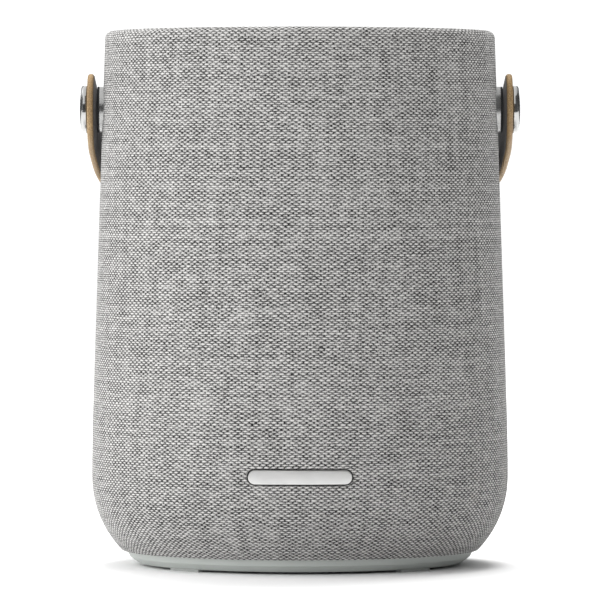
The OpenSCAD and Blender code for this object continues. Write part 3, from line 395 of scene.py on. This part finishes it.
def cut(obj, tool):
    """Takes the closed tool out of obj, and deletes the tool."""
    made = obj.modifiers.new("cut", "BOOLEAN")
    made.object, made.operation, made.solver = tool, "DIFFERENCE", "EXACT"
    shapes = bpy.context.evaluated_depsgraph_get()
    mesh = bpy.data.meshes.new_from_object(obj.evaluated_get(shapes), depsgraph=shapes)
    obj.modifiers.clear()
    obj.data = mesh
    bpy.data.objects.remove(tool)
    return obj


def capsule(half_l, half_w, side_steps, end_steps):
    """Outline of a bar with round ends along X, as (middle, outward) pairs.

    A point of the outline lies at middle + outward * half_w.
    """
    straight = half_l - half_w
    found = []
    for side, start in ((1, -90), (-1, 90)):
        for i in range(end_steps):
            a = math.radians(start + 180 * i / end_steps)
            found.append((Vector((side * straight, 0)), Vector((math.cos(a), math.sin(a)))))
        for i in range(side_steps):
            x = side * straight * (1 - 2 * i / side_steps)
            found.append((Vector((x, 0)), Vector((0, side))))
    return found


def capsule_solid(name, half_l, half_w, section, slot, place, side_steps, end_steps):
    """Plate with round ends.

    section lists (inset from the border, depth), from the middle of the face round to the middle of
    the back, and place(along, across, depth) puts a point.
    """
    ring = capsule(half_l, half_w, side_steps, end_steps)
    vertices = []
    for inset, depth in section:
        vertices += [place(*(middle + outward * (half_w - inset)), depth) for middle, outward in ring]
    return welded(mesh_object(name, vertices, rows_of_faces(len(section), len(ring)), slot))


# ---------- stage ----------

CAMERA_AWAY = 1.880
CAMERA_Z = 0.1237
LENS = 350.2
AIM_Z = 0.0851

camera = bpy.data.objects.new("camera", bpy.data.cameras.new("camera"))
bpy.context.scene.collection.objects.link(camera)
camera.data.lens = LENS
camera.location = (0, -CAMERA_AWAY, CAMERA_Z)
camera.rotation_euler = (Vector((0, 0, AIM_Z)) - camera.location).to_track_quat("-Z", "Y").to_euler()
bpy.context.scene.camera = camera


def box_light(name, at, towards, size, watts):
    """Soft light that bright metal doesn't mirror."""
    light = bpy.data.objects.new(name, bpy.data.lights.new(name, "AREA"))
    bpy.context.scene.collection.objects.link(light)
    light.data.shape = "RECTANGLE"
    light.data.size, light.data.size_y = size
    light.data.energy = watts
    light.location = at
    light.rotation_euler = (Vector(towards) - Vector(at)).to_track_quat("-Z", "Y").to_euler()
    light.visible_glossy = False


def card(name, corners, tone):
    """Flag that only mirror-like reflections see, for the bright metal to show."""
    made = mesh_object(name, corners, [(0, 1, 2, 3)], flat=True)
    f = Finish(name)
    colour = f.mix(f.noise(f.place(), 0.01), (tone * 0.9,) * 3, (tone * 1.1,) * 3)
    made.data.materials.append(f.done(colour, 0.9))
    made.visible_camera = False
    made.visible_diffuse = False
    made.visible_shadow = False


def upright(left, right, height):
    """Corners of an upright card between two places on the ground."""
    return [(*left, 0), (*right, 0), (*right, height), (*left, height)]


def level(near, far, height):
    """Corners of a card lying at a height, between two opposite corners."""
    (x0, y0), (x1, y1) = near, far
    return [(x0, y0, height), (x1, y0, height), (x1, y1, height), (x0, y1, height)]


def floor():
    reach = 40
    ground = mesh_object("floor", level((-reach, -reach), (reach, reach), 0), [(0, 1, 2, 3)], flat=True)
    f = Finish("studio_floor")
    tone = f.noise(f.place(), 0.002, detail=1)
    ground.data.materials.append(f.done(f.mix(tone, (0.91, 0.91, 0.91), (0.92, 0.92, 0.92)), 0.9))


DARKEST_ROOM = 0.05


def surroundings(base, leftwards, backwards):
    """White room, brighter to the left and to the back."""
    world = bpy.data.worlds.new("studio")
    bpy.context.scene.world = world
    world.use_nodes = True
    n = Nodes(world.node_tree)
    direction = n.node("SeparateXYZ", {0: n.node("TexCoord", output="Generated")}).node
    strength = n.math("MULTIPLY_ADD", direction.outputs[0], -leftwards, base)
    strength = n.math("MULTIPLY_ADD", direction.outputs[1], backwards, strength)
    strength = n.math("MAXIMUM", strength, DARKEST_ROOM)
    background = world.node_tree.nodes["Background"]
    background.inputs["Color"].default_value = (1, 1, 1, 1)
    n.feed(background.inputs["Strength"], strength)
    bpy.context.scene.view_settings.view_transform = "Standard"


def studio():
    """Pale floor and room, two soft lights, and the flags that dark metal needs to read as metal."""
    floor()
    surroundings(1.13, 1.3, 0.03)
    box_light("top", (0.08, 0.55, 1.5), (0, 0, 0), (0.8, 0.5), 28)
    box_light("side", (-1.5, -1.2, 0.45), (0, 0, 0.08), (1.2, 0.8), 7)
    card("flag_front", upright((-1.4, -2.6), (1.4, -2.6), 1.5), 0.06)
    card("flag_front_right", upright((0.02, -2.5), (2.8, 0.4), 6.0), 0.06)
    card("flag_front_left", upright((-1.4, -2.6), (-2.6, -2.2), 4.0), 0.4)
    card("flag_left", upright((-2.6, -2.2), (-3.5, 1.5), 4.0), 0.22)
    card("flag_ground", level((-1.4, -2.6), (1.8, -0.6), 2 * MM), 0.06)
    card("flag_back_left", upright((-5.0, 1.8), (-0.35, 2.5), 1.6), 0.04)
    card("flag_back_right", upright((0.35, 2.5), (5.0, 1.0), 1.6), 0.04)


studio()

# ---------- fabric sleeve ----------

SEAM_DEPTH = 0.6 * MM
SEAM_WIDTH = 0.45 * MM
INNER_SKIN_STEPS = 0.3  # of the outer skin's
BAKE_EDGE = 0.002  # left free round the bake map
BACK_SKIN_SHARE = 0.02  # of the bake map, for the skin that nothing sees
BACK_SKIN_FILL = 0.8  # of that share, so that the two skins stay apart on the map


def sleeve_skin(depth, steps_scale=1.0):
    """One skin of the sleeve, from the turned-under hem over the rim to the deck, as [radius, height]."""
    fold = FABRIC_T / 2
    lean = math.degrees(math.asin((HEM_Z + fold - BELLY_Z) / (BASE_ROUND - fold)))
    hem_c = (base_c.x + (BASE_ROUND - fold) * math.cos(math.radians(lean)), HEM_Z + fold)
    start, end = (-90, lean) if depth == 0 else (-90, lean - 180)
    flank_lean = math.degrees(FLANK_LEAN)
    wall_low = BODY_H - DECK_UNDER

    def steps(n):
        return max(2, round(n * steps_scale))

    inner_c = (RECESS_R + RIM_ROUND, rim_c.y)
    path = arc(hem_c, fold, start, end, steps(6))
    path += arc(base_c, BASE_ROUND - depth, lean, 0, steps(36))[1:]
    path += arc(flank_c, FLANK_ROUND - depth, 0, flank_lean, steps(12))[1:]
    rim = arc(rim_c, RIM_ROUND - depth, flank_lean, 90, steps(10))
    straight = steps(48)
    path += [path[-1].lerp(rim[0], i / straight) for i in range(1, straight)]
    path += rim + arc(inner_c, RIM_ROUND - depth, 90, 180, steps(10))
    wall = steps(4)
    top = path[-1]
    path += [top.lerp(Vector((RECESS_R + depth, wall_low)), i / wall) for i in range(1, wall + 1)]
    return path


def path_lengths(path):
    """Length along a path at each of its points."""
    gaps = [0.0] + [(b - a).length for a, b in zip(path, path[1:])]
    return np.cumsum(gaps)


outer_skin = sleeve_skin(0)
inner_skin = sleeve_skin(FABRIC_T, INNER_SKIN_STEPS)
outer_lengths = path_lengths(outer_skin)
SKIN_LENGTH = outer_lengths[-1]
rim_start = next(i for i, p in enumerate(outer_skin) if p.y >= rim_c.y)
flank_heights = [p.y for p in outer_skin[:rim_start]]
flank_lengths = outer_lengths[:rim_start]


def weave_place(turn, length):
    """Place in the weave: dashes round the body, rows up it. turn is 0 to 1 from the seam at the back."""
    return turn * COLUMNS, length / ROW_PITCH


def bake_place(turn, length):
    """Place in the square that the finish is baked to."""
    room = 1 - BAKE_EDGE - BACK_SKIN_SHARE
    return BAKE_EDGE + (1 - 2 * BAKE_EDGE) * turn, BACK_SKIN_SHARE + room * length / SKIN_LENGTH


def seam_turns(columns=256):
    """Turns round the body from the seam at the back, closer together beside it."""
    even = [i / columns for i in range(columns + 1)]
    girth = 2 * math.pi * BODY_R
    near = [w * SEAM_WIDTH / girth for w in (0.35, 0.8, 1.5, 2.4)]
    return sorted(set(even + near + [1 - t for t in near]))


def lay_map(mesh, name, places):
    """Adds a UV map from one place per face corner."""
    layer = mesh.uv_layers.new(name=name)
    layer.data.foreach_set("uv", np.array(places, np.float32).ravel())


def sleeve_body():
    """Closed shell of the sleeve, with its seam at the back, its weave map and its bake map."""
    turns = seam_turns()
    skins = [*outer_skin, *reversed(inner_skin)]
    outer_n, girth = len(outer_skin), 2 * math.pi * BODY_R
    behind, ahead = [outer_skin[0], *outer_skin[:-1]], [*outer_skin[1:], outer_skin[-1]]
    inwards = [(b - a).orthogonal().normalized() for a, b in zip(behind, ahead)]
    vertices = []
    for k, p in enumerate(skins):
        for t in turns[:-1]:
            a = math.pi / 2 + 2 * math.pi * t
            off_seam = min(t, 1 - t) * girth
            dip = SEAM_DEPTH * math.exp(-off_seam / SEAM_WIDTH) if 0 < k < outer_n else 0
            q = p + inwards[k] * dip if k < outer_n else p
            vertices.append((q.x * math.cos(a), q.x * math.sin(a), q.y))
    n, rows = len(turns) - 1, len(skins)
    lengths = [*outer_lengths, *np.linspace(SKIN_LENGTH, 0, len(inner_skin))]
    faces, weave, bake = [], [], []
    for k in range(rows):
        after = (k + 1) % rows
        for i in range(n):
            faces.append((k * n + i, k * n + (i + 1) % n, after * n + (i + 1) % n, after * n + i))
            for t, m in ((turns[i], k), (turns[i + 1], k), (turns[i + 1], after), (turns[i], after)):
                weave.append(weave_place(t, lengths[m]))
                shown = k < outer_n - 1
                depth = min((rows - m - 1) / len(inner_skin), 1.0)
                hidden_place = (t, depth * BACK_SKIN_SHARE * BACK_SKIN_FILL)
                bake.append(bake_place(t, lengths[m]) if shown else hidden_place)
    obj = mesh_object("fabric_cover", vertices, faces, "woven_fabric")
    lay_map(obj.data, "weave", weave)
    lay_map(obj.data, "OFBake", bake)
    return obj


def on_front(across, z, depth):
    """Point below the fabric's front surface, straight behind (across, z)."""
    return Vector((across, -math.sqrt(outline_r(z) ** 2 - across**2) + depth, z))


CUT_PROUD, CUT_PAST_FOLD, CUT_DEPTH = 1.5 * MM, 0.3 * MM, 4 * MM
FOLD_WEAVE = 0.5  # how much weave a folded edge shows for its depth


def opening_tool(name, outline, half_w, centre_z, turn, fold):
    """Cutter for an opening whose edge folds inwards over a radius, made at the front and turned round Z."""
    spin = Matrix.Rotation(math.radians(turn), 3, "Z")
    turns = [math.radians(d) for d in (0, 18, 36, 54, 74)]
    bends = [(fold * (1 - math.cos(a)), fold * (1 - math.sin(a))) for a in turns]
    levels = [(0, CUT_DEPTH), *bends, (bends[-1][0] + CUT_PAST_FOLD, -CUT_PROUD)]
    vertices, places = [], []
    for offset, depth in levels:
        for middle, outward in outline:
            at = middle + outward * (half_w + offset)
            vertices.append(spin @ on_front(at.x, centre_z + at.y, depth))
            flat = middle + outward * (half_w + offset - max(depth, 0) * FOLD_WEAVE)
            q = spin @ on_front(flat.x, centre_z + flat.y, 0)
            from_seam = math.atan2(q.y, q.x) / (2 * math.pi) - 0.25  # the seam lies a quarter turn from +X
            places.append((from_seam, np.interp(q.z, flank_heights, flank_lengths)))
    n = len(outline)
    faces = rows_of_faces(len(levels), n)
    for end, order in ((0, -1), (len(levels) - 1, 1)):
        ring = [end * n + i for i in range(n)][::order]
        centre = len(vertices)
        vertices.append(sum((vertices[i] for i in ring), Vector()) / n)
        places.append(places[ring[0]])
        faces += [(ring[i], ring[(i + 1) % n], centre) for i in range(n)]
    tool = mesh_object(name, vertices, faces)
    weave, bake = [], []
    for f in faces:
        first = places[f[0]][0]
        for i in f:
            t, length = places[i]
            t = (t + round(first - t)) - math.floor(first)
            weave.append(weave_place(t, length))
            bake.append(bake_place(t, length))
    lay_map(tool.data, "weave", weave)
    lay_map(tool.data, "OFBake", bake)
    return tool


def stood_up(outline):
    """An outline turned a quarter, from lying to upright."""
    return [(Vector((-m.y, m.x)), Vector((-o.y, o.x))) for m, o in outline]


badge_low, badge_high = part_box("badge")
port_low, port_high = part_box("port_panel")
boss_low, boss_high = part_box("pivot_boss_right")
PORT_W, PORT_H = 17 * MM, 46 * MM
BOSS_SLACK, BADGE_SLACK = 0.2 * MM, 0.4 * MM
EDGE_FOLD, PORT_FOLD = 0.35 * MM, 0.7 * MM
FABRIC_CREASE = math.radians(50)
HAIR = 1e-9  # keeps the straight side of a round hole from vanishing
BADGE_Z = (badge_low.z + badge_high.z) / 2
BADGE_L, BADGE_W = badge_high.x - badge_low.x, badge_high.z - badge_low.z
PORT_Z = (port_low.z + port_high.z) / 2
PIVOT_Z = (boss_low.z + boss_high.z) / 2
BOSS_R = (boss_high.z - boss_low.z) / 2


def fabric_cover():
    """The sleeve with its four openings: badge, port panel and both pivots."""
    sleeve = sleeve_body()
    boss_r = BOSS_R + BOSS_SLACK
    round_hole = capsule(boss_r + HAIR, boss_r, 1, 24)
    badge_half = BADGE_W / 2 + BADGE_SLACK
    badge_hole = capsule(BADGE_L / 2 + BADGE_SLACK, badge_half, 16, 14)
    port_hole = stood_up(capsule(PORT_H / 2, PORT_W / 2, 16, 26))
    cut(sleeve, opening_tool("cut_badge", badge_hole, badge_half, BADGE_Z, 0, EDGE_FOLD))
    cut(sleeve, opening_tool("cut_port", port_hole, PORT_W / 2, PORT_Z, 180, PORT_FOLD))
    for name, turn in (("cut_right", 90), ("cut_left", -90)):
        cut(sleeve, opening_tool(name, round_hole, boss_r, PIVOT_Z, turn, EDGE_FOLD))
    shade(sleeve.data, FABRIC_CREASE)
    dress(sleeve, "woven_fabric")
    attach(sleeve, "cabinet")
    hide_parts("fabric_sleeve")


fabric_cover()

# ---------- badge ----------


def badge_plate():
    """Bare satin plate, slightly crowned, with a rounded border."""
    proud, thick, edge = 0.5 * MM, 1.6 * MM, 0.3 * MM
    corner = arc((edge, edge), edge, 270, 180, 4)
    section = [(BADGE_W / 2, 0.0), (1.5 * MM, 0.02 * MM), (0.8 * MM, 0.05 * MM)]
    section += [(p.x, p.y + 0.08 * MM) for p in corner]
    section += [(0, thick), (BADGE_W / 2, thick)]

    def place(along, across, depth):
        return on_front(along, BADGE_Z + across, depth - proud)

    plate = capsule_solid("badge_plate", BADGE_L / 2, BADGE_W / 2, section, "badge_metal", place, 24, 24)
    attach(plate, "cabinet")
    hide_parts("badge")


badge_plate()

# ---------- strap ----------

leather_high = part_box("strap_leather")[1]
lining_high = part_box("strap_lining")[1]
eyelet_low, eyelet_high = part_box("strap_eyelet_right")
STRAP_X = leather_high.x
STRAP_T = eyelet_high.x - eyelet_low.x
LEATHER_T = leather_high.x - lining_high.x
EYELET_R = (eyelet_high.z - eyelet_low.z) / 2
STRAP_W = 23 * MM
LINING_W = 21.8 * MM
STRAP_FLAT = 8 * MM
LEAN_L = 12 * MM
LEAN = math.radians(5.2)
SOFT_BEND = 4 * MM  # half the length over which the flat end turns into the lean

loop_r = (STRAP_X - LEAN_L * math.sin(LEAN)) / math.cos(LEAN)
lean_end = STRAP_FLAT + LEAN_L
half_length = lean_end + loop_r * (math.pi / 2 - LEAN)
loop_reach = STRAP_FLAT + LEAN_L * math.cos(LEAN) - loop_r * math.sin(LEAN) + loop_r
HANG = math.atan2(STRAP_W / 2, loop_reach) + math.acos(leather_high.y / math.hypot(loop_reach, STRAP_W / 2))

PATH_SAMPLES = 4001


def strap_path():
    """Half the strap's outer face, from its end: length, heading, place across and place behind."""
    length = np.linspace(0, half_length, PATH_SAMPLES)
    heading = np.clip((length - STRAP_FLAT + SOFT_BEND) / (2 * SOFT_BEND), 0, 1) * LEAN
    heading += np.clip((length - lean_end) / loop_r, 0, None)
    between, step = (heading[1:] + heading[:-1]) / 2, length[1]
    across = STRAP_X - np.concatenate(([0], np.cumsum(np.sin(between)) * step))
    behind = np.concatenate(([0], np.cumsum(np.cos(between)) * step))
    return length, heading, across, behind


path_length, path_heading, path_across, path_behind = strap_path()


def strap_place(along, across, depth):
    """Point of the strap: along its length from the middle, across its width, below its outer face."""
    side = 1 if along >= 0 else -1
    from_end = half_length - abs(along)
    heading = np.interp(from_end, path_length, path_heading)
    x = np.interp(from_end, path_length, path_across) - depth * math.cos(heading)
    y = np.interp(from_end, path_length, path_behind) - depth * math.sin(heading) + min(from_end, 0)
    turned = Matrix.Rotation(-HANG, 3, "X") @ Vector((side * x, y, across))
    return turned + Vector((0, 0, PIVOT_Z))


def strap_layer(name, half_w, section, slot, node):
    """One layer of the strap, swept along its path, with the eyelets' holes."""
    layer = capsule_solid(name, half_length + half_w, half_w, section, slot, strap_place, 130, 32)
    rod = [(0, -0.1), (EYELET_R, -0.1), (EYELET_R, 0.1), (0, 0.1)]
    pin = revolve("pin_tool", rod, None, lambda v: Vector((v.z, v.y, PIVOT_Z - v.x)), 64)
    cut(layer, pin)
    shade(layer.data)
    dress(layer, slot)
    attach(layer, "handle")
    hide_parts(node)


def strap():
    """Tan leather with burnished round edges, over a lining that is pared thin towards its edges."""
    half_w, crown, outer, inner = STRAP_W / 2, 0.1 * MM, 0.9 * MM, 0.8 * MM
    leather_section = [(half_w * share, crown * (1 - share) ** 3) for share in (1, 0.75, 0.5, 0.3)]
    leather_section += [(p.x, p.y + crown) for p in arc((outer, outer), outer, 270, 180, 6)]
    leather_section += [tuple(p) for p in arc((inner, LEATHER_T - inner), inner, 180, 90, 5)]
    leather_section += [(half_w * share, LEATHER_T) for share in (0.5, 1)]
    strap_layer("strap_outer", half_w, leather_section, "tan_leather", "strap_leather")

    half_w, pared = LINING_W / 2, 4.3 * MM
    rise = [(0, 0.12), (0.25, 0.33), (0.5, 0.58), (0.75, 0.82), (1, 0.97), (1.15, 1)]
    lining_section = [(half_w, LEATHER_T), (half_w / 2, LEATHER_T), (0, LEATHER_T)]
    lining_section += [(pared * x, LEATHER_T + (STRAP_T - LEATHER_T) * y) for x, y in rise]
    lining_section += [(half_w, STRAP_T)]
    strap_layer("strap_inner", half_w, lining_section, "strap_lining", "strap_lining")


strap()

# ---------- pivots ----------

cap_low, cap_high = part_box("rivet_cap_right")
washer_low, washer_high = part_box("strap_washer_right")
CAP_R = (cap_high.z - cap_low.z) / 2


def on_side(side, x):
    """Puts a turned piece's local Z along X, outwards, at a pivot."""
    return lambda v: Vector((side * (x + v.z), side * v.x, v.y + PIVOT_Z))


def cap_profile():
    """Low dome with a round shoulder, hollow under its foot where the pin enters."""
    cap_h = cap_high.x - cap_low.x
    dome_round, shoulder, foot = 46 * MM, 0.9 * MM, 0.25 * MM
    hollow_r, hollow_h = 3.05 * MM, 1 * MM
    dome_r = CAP_R - shoulder
    dome_drop = dome_round - math.sqrt(dome_round**2 - dome_r**2)
    dome = [(r, cap_h - dome_round + math.sqrt(dome_round**2 - r**2)) for r in np.linspace(0, dome_r, 8)]
    round_side = [tuple(p) for p in arc((dome_r, cap_h - dome_drop - shoulder), shoulder, 90, 0, 10)]
    bottom = [tuple(p) for p in arc((CAP_R - foot, foot), foot, 0, -90, 4)]
    return dome[:-1] + round_side + bottom + [(hollow_r, 0), (hollow_r, hollow_h), (0, hollow_h)]


def boss_profile():
    """Short cylinder with a rounded edge, and a ring of points that keeps its face flat in shading."""
    height, edge, ring = boss_high.x - boss_low.x, 0.25 * MM, 1.2 * MM
    corner = [tuple(p) for p in arc((BOSS_R - edge, height - edge), edge, 90, 0, 4)]
    return [(0, height), (BOSS_R - ring, height), *corner, (BOSS_R, 0), (0, 0)]


def washer_profile():
    thick, radius = washer_high.x - washer_low.x, (washer_high.z - washer_low.z) / 2
    edge = 0.12 * MM
    above = [(0, thick), (radius - edge, thick), (radius, thick - edge)]
    return above + [(radius, edge), (radius - edge, 0), (0, 0)]


def pivots():
    """Cap, boss and washer on both sides."""
    turned = (
        ("cap", cap_profile(), "polished_steel", cap_low.x, "rivet_cap"),
        ("boss", boss_profile(), "satin_steel", boss_low.x, "pivot_boss"),
        ("washer", washer_profile(), "rubber_black", washer_low.x, "strap_washer"),
    )
    for name, side in (("right", 1), ("left", -1)):
        for kind, profile, slot, x, node in turned:
            made = revolve(f"{kind}_{name}", profile, slot, on_side(side, x))
            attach(made, "cabinet")
            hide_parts(f"{node}_{name}")


pivots()

# ---------- marks on the buttons and the port panel ----------

MARK_PROUD = 0.05 * MM
MARK_SUNK = 0.15 * MM


def bar(x0, y0, x1, y1):
    """Upright rectangle between two corners."""
    return [(x0, y0), (x1, y0), (x1, y1), (x0, y1)]


def band(radius, width, start, end, centre=(0, 0), steps=24):
    """Part of a ring, with its angles in degrees."""
    outer = arc(centre, radius + width / 2, start, end, steps)
    return [tuple(p) for p in outer + arc(centre, radius - width / 2, end, start, steps)]


def dot(x, y, radius, steps=24):
    """Circle, as a closed outline."""
    return [tuple(p) for p in arc((x, y), radius, 0, 360, steps)[:-1]]


def stadium(radius, low, high, steps=12):
    """Upright bar with round ends, centred at the heights low and high."""
    ends = arc((0, high), radius, 0, 180, steps) + arc((0, low), radius, 180, 360, steps)
    return [tuple(p) for p in ends]


def plus(half, width):
    """Outline of an upright cross."""
    w = width / 2
    corner = [(w, w), (w, half), (-w, half), (-w, w)]
    turns = ((1, 0, 0, 1), (0, -1, 1, 0), (-1, 0, 0, -1), (0, 1, -1, 0))
    return [(a * x + b * y, c * x + d * y) for a, b, c, d in turns for x, y in corner[:3]]


def mark(name, outlines, slot, body, place):
    """Printed mark: flat solids a hair proud of a surface. Outlines are in millimetres, y upwards."""
    vertices, faces = [], []
    for outline in outlines:
        n, first = len(outline), len(vertices)
        for depth in (-MARK_SUNK, MARK_PROUD):
            vertices += [place(x * MM, y * MM, depth) for x, y in outline]
        faces.append(tuple(range(first, first + n)))
        faces.append(tuple(range(first + n, first + 2 * n)))
        faces += [(first + i, first + (i + 1) % n, first + n + (i + 1) % n, first + n + i) for i in range(n)]
    printed = welded(mesh_object(name, vertices, faces, slot))
    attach(printed, body)


def on_top(node):
    """Puts a mark on the face of a top button."""
    low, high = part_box(node)
    return lambda x, y, depth: Vector(((low.x + high.x) / 2 + x, (low.y + high.y) / 2 + y, high.z + depth))


def on_rear(x0, z0, face_y):
    """Puts a mark on a face of the port panel, seen from behind."""
    return lambda x, y, depth: Vector((x0 - x, face_y + depth, z0 + y))


def middle(low, high):
    return (low + high) / 2


def marks():
    """Generic symbols, in light print on the dark buttons and in dark print elsewhere."""
    play = [[(-2.6, -1.7), (0.3, 0), (-2.6, 1.7)], bar(0.9, -1.7, 1.7, 1.7), bar(2.3, -1.7, 3.1, 1.7)]
    waves = [band(r, 0.4, side - 42, side + 42) for r in (1.4, 2.4) for side in (0, 180)]
    dots = [dot(x, 0, 0.45) for x in (-1.6, 0, 1.6)]
    power = [band(1.5, 0.4, 122, 418), bar(-0.2, 0.4, 0.2, 2.1)]
    holder = [band(1.15, 0.3, 200, 340, (0, 0.35)), bar(-0.15, -1.6, 0.15, -0.95)]
    microphone = [stadium(0.65, 0.35, 0.9), *holder]
    bolt = [(0.35, 1.5), (-0.75, -0.15), (-0.05, -0.15), (-0.35, -1.5), (0.75, 0.2), (0.05, 0.2)]
    top = (
        ("play", play, "base_plastic"),
        ("volume_up", [plus(2.0, 0.55)], "black_plastic"),
        ("volume_down", [bar(-2.0, -0.28, 2.0, 0.28)], "black_plastic"),
        ("pairing", [dot(0, 0, 0.5), *waves], "black_plastic"),
        ("assistant", dots, "black_plastic"),
    )
    for body, outlines, slot in top:
        mark(f"mark_{body}", outlines, slot, body, on_top(f"{body}_button"))

    power_low, power_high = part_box("power_button")
    mute_low, mute_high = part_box("mute_slider")
    usb_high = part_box("usb_c_socket")[1]
    on_power = on_rear(0, middle(power_low.z, power_high.z), power_high.y)
    beside_slider = on_rear(-5.2 * MM, middle(mute_low.z, mute_high.z) + 1.2 * MM, port_high.y)
    above_socket = on_rear(0, usb_high.z + 2.6 * MM, port_high.y)
    mark("mark_power", power, "base_plastic", "power", on_power)
    mark("mark_microphone", microphone, "black_plastic", "cabinet", beside_slider)
    mark("mark_charge", [bolt], "black_plastic", "cabinet", above_socket)


marks()
